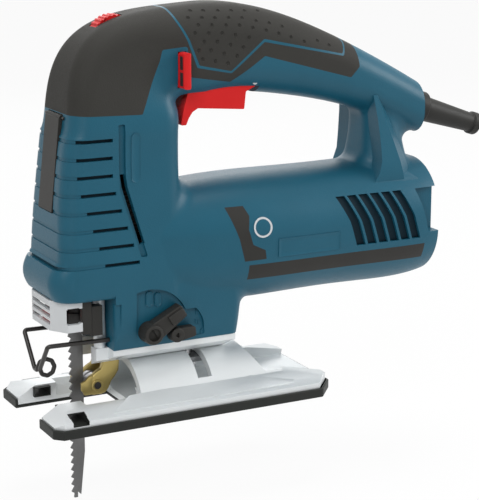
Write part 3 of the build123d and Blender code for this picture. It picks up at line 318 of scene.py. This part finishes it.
# tools for new pieces
def prism(points, reach):
    bm = bmesh.new()
    face = bm.faces.new([bm.verts.new(Vector(p) * mm) for p in points])
    made = bmesh.ops.extrude_face_region(bm, geom=[face])
    moved = [g for g in made["geom"] if isinstance(g, bmesh.types.BMVert)]
    bmesh.ops.translate(bm, vec=Vector(reach) * mm, verts=moved)
    bmesh.ops.recalc_face_normals(bm, faces=bm.faces)
    return bm


def sidePrism(outline, y0, y1):
    return prism([(x, y0, z) for x, z in outline], (0, y1 - y0, 0))


def easeEdges(bm, width, segments=2, angle=30, keep=None):
    edges = [e for e in bm.edges if e.calc_face_angle(0) > radians(angle) and (keep is None or keep(e))]
    bmesh.ops.bevel(bm, geom=edges, offset=width * mm, affect="EDGES", segments=segments, profile=0.5,
                    material=-1, clamp_overlap=True)


def addTwin(bm):
    made = bmesh.ops.duplicate(bm, geom=bm.verts[:] + bm.edges[:] + bm.faces[:])
    twin = [g for g in made["geom"] if isinstance(g, bmesh.types.BMVert)]
    bmesh.ops.scale(bm, vec=(1, -1, 1), verts=twin)
    bmesh.ops.reverse_faces(bm, faces=[g for g in made["geom"] if isinstance(g, bmesh.types.BMFace)])


def addInto(bm, other):
    keep = bpy.data.meshes.new("joining")
    other.to_mesh(keep)
    bm.from_mesh(keep)
    other.free()
    bpy.data.meshes.remove(keep)


def finishPiece(name, bm, finish, body, angle=32):
    markSmooth(bm, angle)
    mesh = bpy.data.meshes.new(name)
    bm.to_mesh(mesh)
    bm.free()
    mesh.materials.append(madeFinishes[finish])
    obj = bpy.data.objects.new(name, mesh)
    bpy.context.scene.collection.objects.link(obj)
    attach(obj, body)
    return obj


def bakeCut(obj, cutter, angle):
    mesh = bpy.data.meshes.new("cutter")
    cutter.to_mesh(mesh)
    cutter.free()
    tool = bpy.data.objects.new("cutter", mesh)
    bpy.context.scene.collection.objects.link(tool)
    cut = obj.modifiers.new("cut", "BOOLEAN")
    cut.operation = "DIFFERENCE"
    cut.solver = "EXACT"
    cut.object = tool
    baked = bpy.data.meshes.new_from_object(obj.evaluated_get(bpy.context.evaluated_depsgraph_get()))
    obj.modifiers.clear()
    bm = bmesh.new()
    bm.from_mesh(baked)
    markSmooth(bm, angle)
    bm.to_mesh(obj.data)
    bm.free()
    bpy.data.objects.remove(tool)


def skinTree(names):
    bm = bmesh.new()
    for name in names:
        bm.from_mesh(nodes[name].data)
    tree = BVHTree.FromBMesh(bm)
    bm.free()
    return tree


outsideY = -0.09  # metres, clear of the left side
leftSkin = skinTree(["left_housing", "left_nose_pad", "left_grip_pad", "left_side_strip"])


def skinAt(x, z, tree=leftSkin):
    return tree.ray_cast(Vector((x * mm, outsideY, z * mm)), Vector((0, 1, 0)))


def obround(x, low, high, radius, count=10):
    points = []
    for step in range(count + 1):
        a = pi * step / count
        points.append((x + radius * cos(a), high - radius + radius * sin(a)))
    for step in range(count + 1):
        a = pi + pi * step / count
        points.append((x + radius * cos(a), low + radius + radius * sin(a)))
    return points


def skinPlate(outline, proud, rim=0, sink=0, cell=2.0, root=1.2, tree=leftSkin):
    bm = prism([(x, -proud, z) for x, z in outline], (0, proud + root, 0))
    if rim:
        top = min(bm.faces, key=lambda f: f.calc_center_median().y)
        bmesh.ops.inset_region(bm, faces=[top], thickness=rim * mm, depth=-sink * mm)
    for axis, low, high in ((0, min(outline)[0], max(outline)[0]),
                            (2, min(p[1] for p in outline), max(p[1] for p in outline))):
        cuts = int((high - low) / cell)
        for step in range(1, cuts):
            spot = Vector((0, 0, 0))
            spot[axis] = (low + (high - low) * step / cuts) * mm
            way = Vector((axis == 0, 0, axis == 2))
            everything = bm.verts[:] + bm.edges[:] + bm.faces[:]
            bmesh.ops.bisect_plane(bm, geom=everything, plane_co=spot, plane_no=way, dist=1e-7)
    for vert in bm.verts:
        vert.co.y += skinAt(vert.co.x / mm, vert.co.z / mm, tree)[0].y  # laid on the curved side
    return bm


# grip pads: rows of small round dents, (x, z) on the left pad
dentSet = {
    "radius": 1.35, "lift": 0.62,
    "rows": [
        [(10.6, 203.3), (17.4, 203.1), (25.1, 202.8), (32.7, 202.5), (40.7, 202.0), (49.1, 201.5)],
        [(7.8, 200.1), (15.2, 199.8), (22.1, 199.5), (29.7, 199.2), (37.3, 198.8), (45.2, 196.9),
         (52.9, 195.5), (60.5, 193.3)],
        [(12.3, 196.5), (19.6, 196.2), (27.3, 195.8), (35.0, 195.4), (42.5, 193.8), (50.2, 192.1),
         (57.5, 190.1), (64.7, 187.9), (72.5, 185.2), (81.1, 185.1), (88.3, 182.4)],
        [(9.9, 192.8), (17.4, 192.4), (24.8, 192.1), (32.2, 190.8), (39.9, 189.1)],
        [(14.8, 188.3), (22.1, 187.9), (29.4, 186.0), (36.7, 184.4)],
        [(11.8, 184.2), (18.5, 183.8), (25.8, 181.8), (33.1, 180.2)],
        [(13.9, 179.7), (20.9, 178.3), (28.0, 176.8)],
    ],
}


def addDents(d):
    for side, nodeName in ((1, "left_grip_pad"), (-1, "right_grip_pad")):
        cutter = bmesh.new()
        for row in d["rows"]:
            for x, z in row:
                place, normal = skinAt(x, z)[:2]
                made = bmesh.ops.create_icosphere(cutter, subdivisions=2, radius=d["radius"] * mm)
                middle = place + normal * d["lift"] * mm
                bmesh.ops.translate(cutter, vec=(middle.x, middle.y * side, middle.z), verts=made["verts"])
        bakeCut(dressed[nodeName], cutter, 28)
        print(nodeName, "faces with dents:", len(dressed[nodeName].data.polygons))


addDents(dentSet)

# bare plates let into the blue sides: obround on the nose, name plate and round badge on the barrel
plateSet = {
    "nosePlate": {"outline": obround(-25.1, 121.6, 146.5, 2.4), "proud": 0.35, "rim": 0.6, "sink": 0.3},
    "namePlate": {"outline": [(50.4, 77.2), (87.0, 77.2), (87.0, 86.8), (50.4, 86.8)], "proud": 0.45,
                  "rim": 0.7, "sink": 0.25},
}
for plateName, p in plateSet.items():
    bm = skinPlate(p["outline"], p["proud"], p["rim"], p["sink"])
    addTwin(bm)
    finishPiece(plateName, bm, "blueMoulding", "housing")
badgeSet = {"x": 41.6, "z": 93.6, "radius": 5.2, "rim": 0.9, "proud": 0.4, "sink": 0.25, "steps": 40,
            "field": 0.8, "lower": 0.1}


def addBadge(b):
    turns = [2 * pi * k / b["steps"] for k in range(b["steps"])]
    ring = [(b["x"] + b["radius"] * cos(a), b["z"] + b["radius"] * sin(a)) for a in turns]
    bm = skinPlate(ring, b["proud"], b["rim"], b["sink"])
    addTwin(bm)
    finishPiece("badgeRing", bm, "greyPlastic", "housing")
    inner = [(b["x"] + (x - b["x"]) * b["field"], b["z"] + (z - b["z"]) * b["field"]) for x, z in ring]
    bm = skinPlate(inner, b["proud"] - b["lower"])
    addTwin(bm)
    finishPiece("badgeField", bm, "blueMoulding", "housing")


addBadge(badgeSet)
print("plates set")

# painted shade: a near-black blue sheet let into the wall behind the rear vents, standing in for the shade
# inside them; the barrel's skin is taken across the slots
ventSet = {"outline": [(86.0, 105.2), (128.0, 105.2), (134.0, 91.1), (138.4, 77.0), (96.6, 77.0),
                       (92.6, 91.1)],
           "x": (78.0, 146.0), "z": (74.0, 107.0), "y": -15.0, "front": 1.7, "back": 2.1}


def addVentShadeSheet(v):
    bm = bmesh.new()
    bm.from_mesh(nodes["left_housing"].data)
    (x0, x1), (z0, z1) = v["x"], v["z"]
    away = [p for p in bm.verts
            if not (x0 < p.co.x / mm < x1 and z0 < p.co.z / mm < z1 and p.co.y / mm < v["y"])]
    bmesh.ops.delete(bm, geom=away, context="VERTS")
    bmesh.ops.convex_hull(bm, input=bm.verts)
    closed = BVHTree.FromBMesh(bm)
    bm.free()
    bm = skinPlate(v["outline"], -v["front"], root=v["back"], tree=closed)
    addTwin(bm)
    finishPiece("ventShadeSheet", bm, "paintedShadeBlue", "housing")


addVentShadeSheet(ventSet)

# painted shade: a near-black blue sheet behind each nose slot, standing in for the shade inside it, carried
# by the wall above and below it
noseSet = {"count": 8, "top": 143.7, "pitch": 8.86, "rear": -37.2, "length": 18.5, "drift": 2.8, "still": 2.5,
           "over": 1.0, "half": 2.0, "front": 1.9, "back": 2.4, "cell": 4.5}


def addNoseShadeSheets(n):
    bm = bmesh.new()
    for index in range(n["count"]):
        z = n["top"] - n["pitch"] * index
        rear = n["rear"] + max(0, index - n["still"]) * n["drift"]
        x0 = rear - n["length"] - n["over"]
        x1 = rear + n["over"]
        outline = [(x0, z - n["half"]), (x1, z - n["half"]), (x1, z + n["half"]), (x0, z + n["half"])]
        addInto(bm, skinPlate(outline, -n["front"], cell=n["cell"], root=n["back"]))
    addTwin(bm)
    finishPiece("noseShadeSheets", bm, "paintedShadeBlue", "housing")


addNoseShadeSheets(noseSet)
print("vent floors set")

# cheeks of the rear column: flat panel and bright chamfer behind it, running out on the barrel
cheekSet = {
    "panelFront": [(115.5, -17.7, 154.5), (117.0, -20.1, 141.6), (117.7, -22.2, 130.0), (117.9, -23.8, 120.1),
                   (116.0, -24.6, 113.5)],
    "panelRear": [(117.8, -17.7, 154.5), (121.8, -20.1, 141.5), (125.7, -22.2, 130.0), (129.1, -23.8, 119.6),
                  (130.8, -24.8, 112.5)],
    "chamferRear": [(125.7, -8.6, 154.0), (129.6, -11.1, 141.5), (133.5, -13.4, 130.0), (137.5, -15.6, 119.0),
                    (139.5, -17.0, 112.5)],
    "footRows": [(113.4, 131.4, 140.2, 109.0, 0.25), (110.8, 132.0, 140.8, 105.6, -0.5)],
    "inside": -6.0,
}


def addCheeks(c):
    rows = [list(row) for row in zip(c["panelFront"], c["panelRear"], c["chamferRear"])]
    for front, rear, back, z, proud in c["footRows"]:
        rows.append([(x, skinAt(x, z)[0].y / mm - proud, z) for x in (front, rear, back)])
    bm = bmesh.new()
    loops = []
    for row in rows:
        front, rear, back = row
        ring = row + [(back[0], c["inside"], back[2]), (front[0], c["inside"], front[2])]
        loops.append([bm.verts.new(Vector(p) * mm) for p in ring])
    for upper, lower in zip(loops, loops[1:]):
        for k in range(5):
            bm.faces.new((upper[k], upper[(k + 1) % 5], lower[(k + 1) % 5], lower[k]))
    bm.faces.new(loops[0])
    bm.faces.new(loops[-1])
    bmesh.ops.recalc_face_normals(bm, faces=bm.faces)
    addTwin(bm)
    finishPiece("columnCheeks", bm, "blueMoulding", "housing", 24)


addCheeks(cheekSet)
print("column cheeks set")

# front cap: larger windows beside the clips, wide louvres, and a black sheet behind them, painted shade for
# the dark inside of the cap
capSet = {"windowX": (-62.3, -53.0), "windowZ": (52.9, 60.4), "louvres": (51.4, 55.1, 58.8),
          "louvreTall": 2.1, "louvreHalf": 12.4, "louvreX": (-70, -63.5), "windowY": (15, 30), "sheet": 0.3,
          "shadeSheet": [(-54.2, -19.2), (-59.7, -19.2), (-65.7, -11.0), (-65.7, 11.0), (-59.7, 19.2),
                     (-54.2, 19.2)],
          "shadeSheetZ": (49.5, 63.5)}


def boxPiece(x, y, z):
    return sidePrism([(x[0], z[0]), (x[1], z[0]), (x[1], z[1]), (x[0], z[1])], y[0], y[1])


def capCutter(c):
    near, far = c["windowY"]
    bm = boxPiece(c["windowX"], (-far, -near), c["windowZ"])
    addInto(bm, boxPiece(c["windowX"], (near, far), c["windowZ"]))
    for low in c["louvres"]:
        addInto(bm, boxPiece(c["louvreX"], (-c["louvreHalf"], c["louvreHalf"]), (low, low + c["louvreTall"])))
    return bm


def addCap(c):
    cap = dressed["front_grille"]
    bakeCut(cap, capCutter(c), 30)
    low, high = c["shadeSheetZ"]
    bm = bmesh.new()
    lower = [bm.verts.new(Vector((x, y, low)) * mm) for x, y in c["shadeSheet"]]
    upper = [bm.verts.new(Vector((x, y, high)) * mm) for x, y in c["shadeSheet"]]
    for k in range(len(lower) - 1):
        bm.faces.new((lower[k], lower[k + 1], upper[k + 1], upper[k]))
    bmesh.ops.solidify(bm, geom=bm.faces[:], thickness=c["sheet"] * mm)
    bmesh.ops.recalc_face_normals(bm, faces=bm.faces)
    # painted shade: black sheet inside the cap, seen through the windows and louvres
    shadeSheet = finishPiece("capShadeSheet", bm, "blackTrayAndShade", "housing", 20)
    bakeCut(shadeSheet, capCutter(c), 20)


addCap(capSet)
print("cap cut and lined")

# painted shade: black sheets lining the fence slots through both prongs, cut off along the slope, standing in
# for the shade inside the slots
fenceSet = {"x": (-67.2, -58.2), "wall": 0.4,
            "side": [(-38.6, 5.2), (-14.6, 5.2), (-14.6, 10.2), (-31.4, 10.2), (-38.6, 7.4)]}


def addFenceShadeLining(f):
    (x0, x1), w, side = f["x"], f["wall"], f["side"]
    bm = prism([(x0, y, z) for y, z in side], (w, 0, 0))
    addInto(bm, prism([(x1 - w, y, z) for y, z in side], (w, 0, 0)))
    for start, end, step in ((side[0], side[1], w), (side[3], side[2], -w)):
        z = start[1]
        addInto(bm, boxPiece((x0, x1), (start[0], end[0]), sorted((z, z + step))))
    addTwin(bm)
    finishPiece("fenceShadeLining", bm, "blackTrayAndShade", "shoe", 20)


addFenceShadeLining(fenceSet)

# blade: teeth from the tip up to the clamp, on the stock T-shank outline
bladeSet = {"front": -53.7, "back": -46.0, "half": 0.6, "tip": -47.39, "toothTop": 41.0, "pitch": 4.0,
            "depth": 1.7, "top": 52.6}


def addBlade(b):
    front, back, tip = b["front"], b["back"], b["tip"]
    top = b["top"]
    outline = [(back - 4.4, tip), (back - 4.4, tip + 3), (back - 2.6, tip + 1.2), (back, tip + 25),
               (back, top - 13),
               (back - 1, top - 11), (back - 1, top), (front + 1, top), (front + 1, top - 9)]
    count = int((b["toothTop"] - tip) / b["pitch"])
    for index in range(count):
        z = tip + 2 + b["pitch"] * (count - index)
        outline += [(front, z - 2.6), (front + 0.5 * b["depth"], z - 3.1), (front + b["depth"], z - 3.9)]
    outline.append((front + 1.4, tip))
    bm = sidePrism(outline, -b["half"], b["half"])
    obj = finishPiece("bladeDressed", bm, "bladeSteel", "plunger", 20)
    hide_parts("blade")


addBlade(bladeSet)

# roller fork: rounded cheeks with a turned-out front flange, bridge behind the roller, rim round the pin
forkSet = {
    "cheek": [(-37.3, 32.8), (-34, 35), (-29.6, 33.3), (-28.6, 27.8), (-29.2, 21), (-31.2, 17.9),
              (-33.2, 15.8),
              (-34.9, 12.2), (-36.4, 10.2), (-39.1, 9.4), (-44.0, 9.6), (-44.8, 11), (-44.6, 14),
              (-45.2, 17.5), (-43.8, 19.6), (-41.6, 21.3), (-38.8, 22.8), (-37.6, 26)],
    "flange": [(-50.0, 16.7), (-47.7, 17.7), (-45.4, 20.0), (-43.4, 19.8), (-44.2, 17.5), (-44.0, 14),
               (-44.0, 10.0), (-48.4, 10.0), (-49.0, 11.6), (-50.0, 12.7)],
    "bridge": [(-36, 33.4), (-34, 34.5), (-30, 33), (-29, 27.8), (-33.4, 18.6), (-34.8, 21.5), (-34.8, 29.5)],
    "spring": [(-39.2, 28.5), (-35, 30.5), (-35, 33), (-38, 31.5), (-38.4, 40), (-39.2, 40)],
    "inner": -4.2, "outer": -7.6, "lip": -8.0, "pinX": -41.25, "pinZ": 14.5, "pinRadius": 1.8,
}


def addFork(f):
    bm = sidePrism(f["cheek"], f["inner"], f["outer"])
    easeEdges(bm, 0.6, 3)
    flange = sidePrism(f["flange"], f["outer"] + 1.6, f["lip"])
    easeEdges(flange, 0.45, 2)
    addInto(bm, flange)
    r, lip, root = f["pinRadius"], f["lip"], f["outer"] + 1
    profile = [(r, root), (r, lip - 0.2), (r + 0.3, lip - 0.4), (r + 1.1, lip - 0.4), (r + 1.4, lip),
               (r + 1.4, root), (r, root)]
    addInto(bm, turnedDisc(f["pinX"], f["pinZ"], profile))
    addTwin(bm)
    addInto(bm, sidePrism(f["bridge"], f["inner"] - 0.5, -f["inner"] + 0.5))
    addInto(bm, sidePrism(f["spring"], -1.5, 1.5))
    obj = finishPiece("rollerForkDressed", bm, "dullBrass", "fork")
    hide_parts("roller_fork")


# large guide lever: boss with a dark well, tapering arm, raised grip tip
leverSet = {"x": -19.6, "z": 44.4, "angle": 31.5, "reach": 20.3, "boss": 5.5, "well": 3.3, "inner": -23.6,
            "armInner": -24.3, "arm": -30.6, "outer": -32.0}


def turnedDisc(x, z, profile, steps=40):
    bm = bmesh.new()
    verts = [bm.verts.new(Vector((x + r, y, z)) * mm) for r, y in profile]
    edges = [bm.edges.new(pair) for pair in zip(verts, verts[1:])]
    bmesh.ops.spin(bm, geom=verts + edges, cent=Vector((x, 0, z)) * mm, axis=(0, 1, 0), angle=2 * pi,
                   steps=steps, use_merge=True)
    bmesh.ops.remove_doubles(bm, verts=bm.verts, dist=1e-6)
    bmesh.ops.recalc_face_normals(bm, faces=bm.faces)
    return bm


def along(l, step, side):
    a = radians(l["angle"])
    return (l["x"] + cos(a) * step - sin(a) * side, l["z"] + sin(a) * step + cos(a) * side)


def addGuideLever(l):
    boss, well, inner, outer, reach = l["boss"], l["well"], l["inner"], l["outer"], l["reach"]
    profile = [(0, outer + 2.6), (well, outer + 2.6), (well, outer + 0.2), (well + 0.2, outer),
               (boss - 1.1, outer),
               (boss - 0.6, outer + 0.3), (boss - 0.2, outer + 1.6), (boss, inner - 0.8), (boss, inner),
               (0, inner)]
    bm = turnedDisc(l["x"], l["z"], profile)
    side = [(1.0, -4.9), (reach - 0.4, -3.3), (reach, -2.6), (reach, 2.8), (reach - 0.6, 3.5), (1.0, 4.9)]
    arm = sidePrism([along(l, *p) for p in side], l["armInner"], l["arm"])
    easeEdges(arm, 0.8, 3)
    addInto(bm, arm)
    raised = [(reach - 9.5, -2.7), (reach - 0.6, -2.2), (reach - 0.6, 2.4), (reach - 9.5, 2.8)]
    tip = sidePrism([along(l, *p) for p in raised], l["arm"] + 1, outer)
    easeEdges(tip, 0.55, 3)
    addInto(bm, tip)
    obj = finishPiece("guideLeverDressed", bm, "darkPlastic", "guide")
    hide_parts("guide_lever")


addGuideLever(leverSet)
addFork(forkSet)

# small orbit lever: rounded bar with a small well
orbitSet = {"x": -5.1, "z": 41.7, "angle": 5.6, "reach": 10.2, "boss": 4.0, "well": 1.25, "inner": -23.6,
            "outer": -29.0}


def addOrbitLever(l):
    boss, well, inner, outer, reach = l["boss"], l["well"], l["inner"], l["outer"], l["reach"]
    profile = [(0, outer + 1.5), (well, outer + 1.5), (well, outer + 0.15), (well + 0.2, outer),
               (boss - 0.9, outer), (boss - 0.3, outer + 0.4), (boss, outer + 1.4), (boss, inner), (0, inner)]
    bm = turnedDisc(l["x"], l["z"], profile)
    side = [(0.5, -3.6), (reach - 0.8, -2.7), (reach, -1.9), (reach, 1.9), (reach - 0.8, 2.7), (0.5, 3.6)]
    arm = sidePrism([along(l, *p) for p in side], inner, outer + 0.25)
    easeEdges(arm, 0.7, 3)
    addInto(bm, arm)
    obj = finishPiece("orbitLeverDressed", bm, "darkPlastic", "orbit")
    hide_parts("orbit_lever")


addOrbitLever(orbitSet)
print("levers made")

# lock button: rounded key through the handle, with two dark windows on its front face
lockSet = {"x": 2.8, "thick": 4.5, "low": 166.0, "high": 184.0, "left": -26.0, "right": 19.0}


def addLockButton(l):
    half = l["thick"] / 2
    bm = sidePrism([(l["x"] - half, l["low"]), (l["x"] + half, l["low"]), (l["x"] + half, l["high"]),
                    (l["x"] - half, l["high"])], l["left"], l["right"])
    easeEdges(bm, 1.5, 4, 30, lambda e: abs(e.verts[0].co.x - e.verts[1].co.x) < 1e-6)
    obj = finishPiece("lockButtonDressed", bm, "redPlastic", "lock")
    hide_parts("lock_button")
    windows = bmesh.new()
    for low, high in ((l["low"] + 1.6, l["low"] + 8.2), (l["low"] + 9.6, l["high"] - 1.8)):
        front = l["x"] - half
        pane = prism([(front - 0.04, l["left"] + 1.3, low), (front - 0.04, l["left"] + 4.4, low),
                      (front - 0.04, l["left"] + 4.4, high), (front - 0.04, l["left"] + 1.3, high)],
                      (0.5, 0, 0))
        addInto(windows, pane)
    finishPiece("lockWindows", windows, "darkPlastic", "lock")


addLockButton(lockSet)

# speed dial: ribbed wheel
dialSet = {"x": -26.3, "z": 190.4, "radius": 12.0, "half": 4.0, "ribs": 30, "valley": 0.958, "rim": 1.0}


def addDial(d):
    bm = bmesh.new()
    made = bmesh.ops.create_circle(bm, cap_ends=True, radius=d["radius"] * mm, segments=d["ribs"] * 4)
    for index, vert in enumerate(made["verts"]):
        if index % 4 in (2, 3):
            bmesh.ops.scale(bm, vec=(d["valley"], d["valley"], 1), verts=[vert])
    bmesh.ops.rotate(bm, cent=(0, 0, 0), matrix=Matrix.Rotation(radians(90), 3, "X"), verts=bm.verts)
    bmesh.ops.translate(bm, vec=Vector((d["x"], -d["half"], d["z"])) * mm, verts=bm.verts)
    out = bmesh.ops.extrude_face_region(bm, geom=bm.faces[:])
    moved = [g for g in out["geom"] if isinstance(g, bmesh.types.BMVert)]
    bmesh.ops.translate(bm, vec=(0, 2 * d["half"] * mm, 0), verts=moved)
    bmesh.ops.recalc_face_normals(bm, faces=bm.faces)
    caps = [f for f in bm.faces if len(f.verts) > 4]
    bmesh.ops.inset_region(bm, faces=caps, thickness=d["rim"] * mm, depth=0.0)
    obj = finishPiece("speedDialDressed", bm, "redPlastic", "dial", 25)
    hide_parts("speed_dial")


addDial(dialSet)
print("lock button and dial made")

# shoe: framed panel on each slope
panelSet = {"points": [(-44, 0.16), (-31, 0.72), (34, 0.86), (60, 0.3), (58, 0.16)], "low": (-38.7, 7.6),
            "high": (-19.0, 14.0), "proud": 0.3, "rim": 0.9, "thick": 1.0, "sink": 0.25}


def addShoePanels(p):
    (y0, z0), (y1, z1) = p["low"], p["high"]
    slope = Vector((0, y1 - y0, z1 - z0))
    out = Vector((0, -(z1 - z0), y1 - y0)).normalized()
    bm = bmesh.new()
    verts = []
    for x, t in p["points"]:
        verts.append(bm.verts.new((Vector((x, y0, z0)) + slope * t + out * p["proud"]) * mm))
    face = bm.faces.new(verts)
    face.normal_update()
    made = bmesh.ops.extrude_face_region(bm, geom=[face])
    moved = [g for g in made["geom"] if isinstance(g, bmesh.types.BMVert)]
    bmesh.ops.translate(bm, vec=-out * p["thick"] * mm, verts=moved)
    bmesh.ops.recalc_face_normals(bm, faces=bm.faces)
    top = max(bm.faces, key=lambda f: f.calc_center_median().dot(out))
    bmesh.ops.inset_region(bm, faces=[top], thickness=p["rim"] * mm, depth=-p["sink"] * mm)
    addTwin(bm)
    finishPiece("shoePanels", bm, "castAlloy", "shoe")


addShoePanels(panelSet)
print("shoe panels set")

# marks beside the orbit lever: 0, one bar, two bars; two finger ribs in the scoop
markSet = {"bars": [(8.0, 50.7), (7.8, 45.6), (9.2, 45.2)], "ring": (11.2, 40.2), "tall": 2.4, "wide": 0.6,
           "proud": 0.4, "ribs": [(-18.7, 57.2, 65.4), (-14.0, 56.9, 64.2)], "ribRadius": 1.9,
           "ribProud": 0.6}


def addMarks(m):
    bm = bmesh.new()
    for x, z in m["bars"]:
        half = m["wide"] / 2
        up = m["tall"] / 2
        bar = skinPlate([(x - half, z - up), (x + half, z - up), (x + half, z + up), (x - half, z + up)],
                        m["proud"])
        addInto(bm, bar)
    x, z = m["ring"]
    ring = skinPlate(obround(x, z - 1.4, z + 1.4, 0.95, 8), m["proud"], 0.4, 0.22)
    addInto(bm, ring)
    for x, low, high in m["ribs"]:
        addInto(bm, skinPlate(obround(x, low, high, m["ribRadius"]), m["ribProud"], 0.5, 0.5))
    finishPiece("orbitMarks", bm, "blueMoulding", "housing")


addMarks(markSet)
print("marks set")
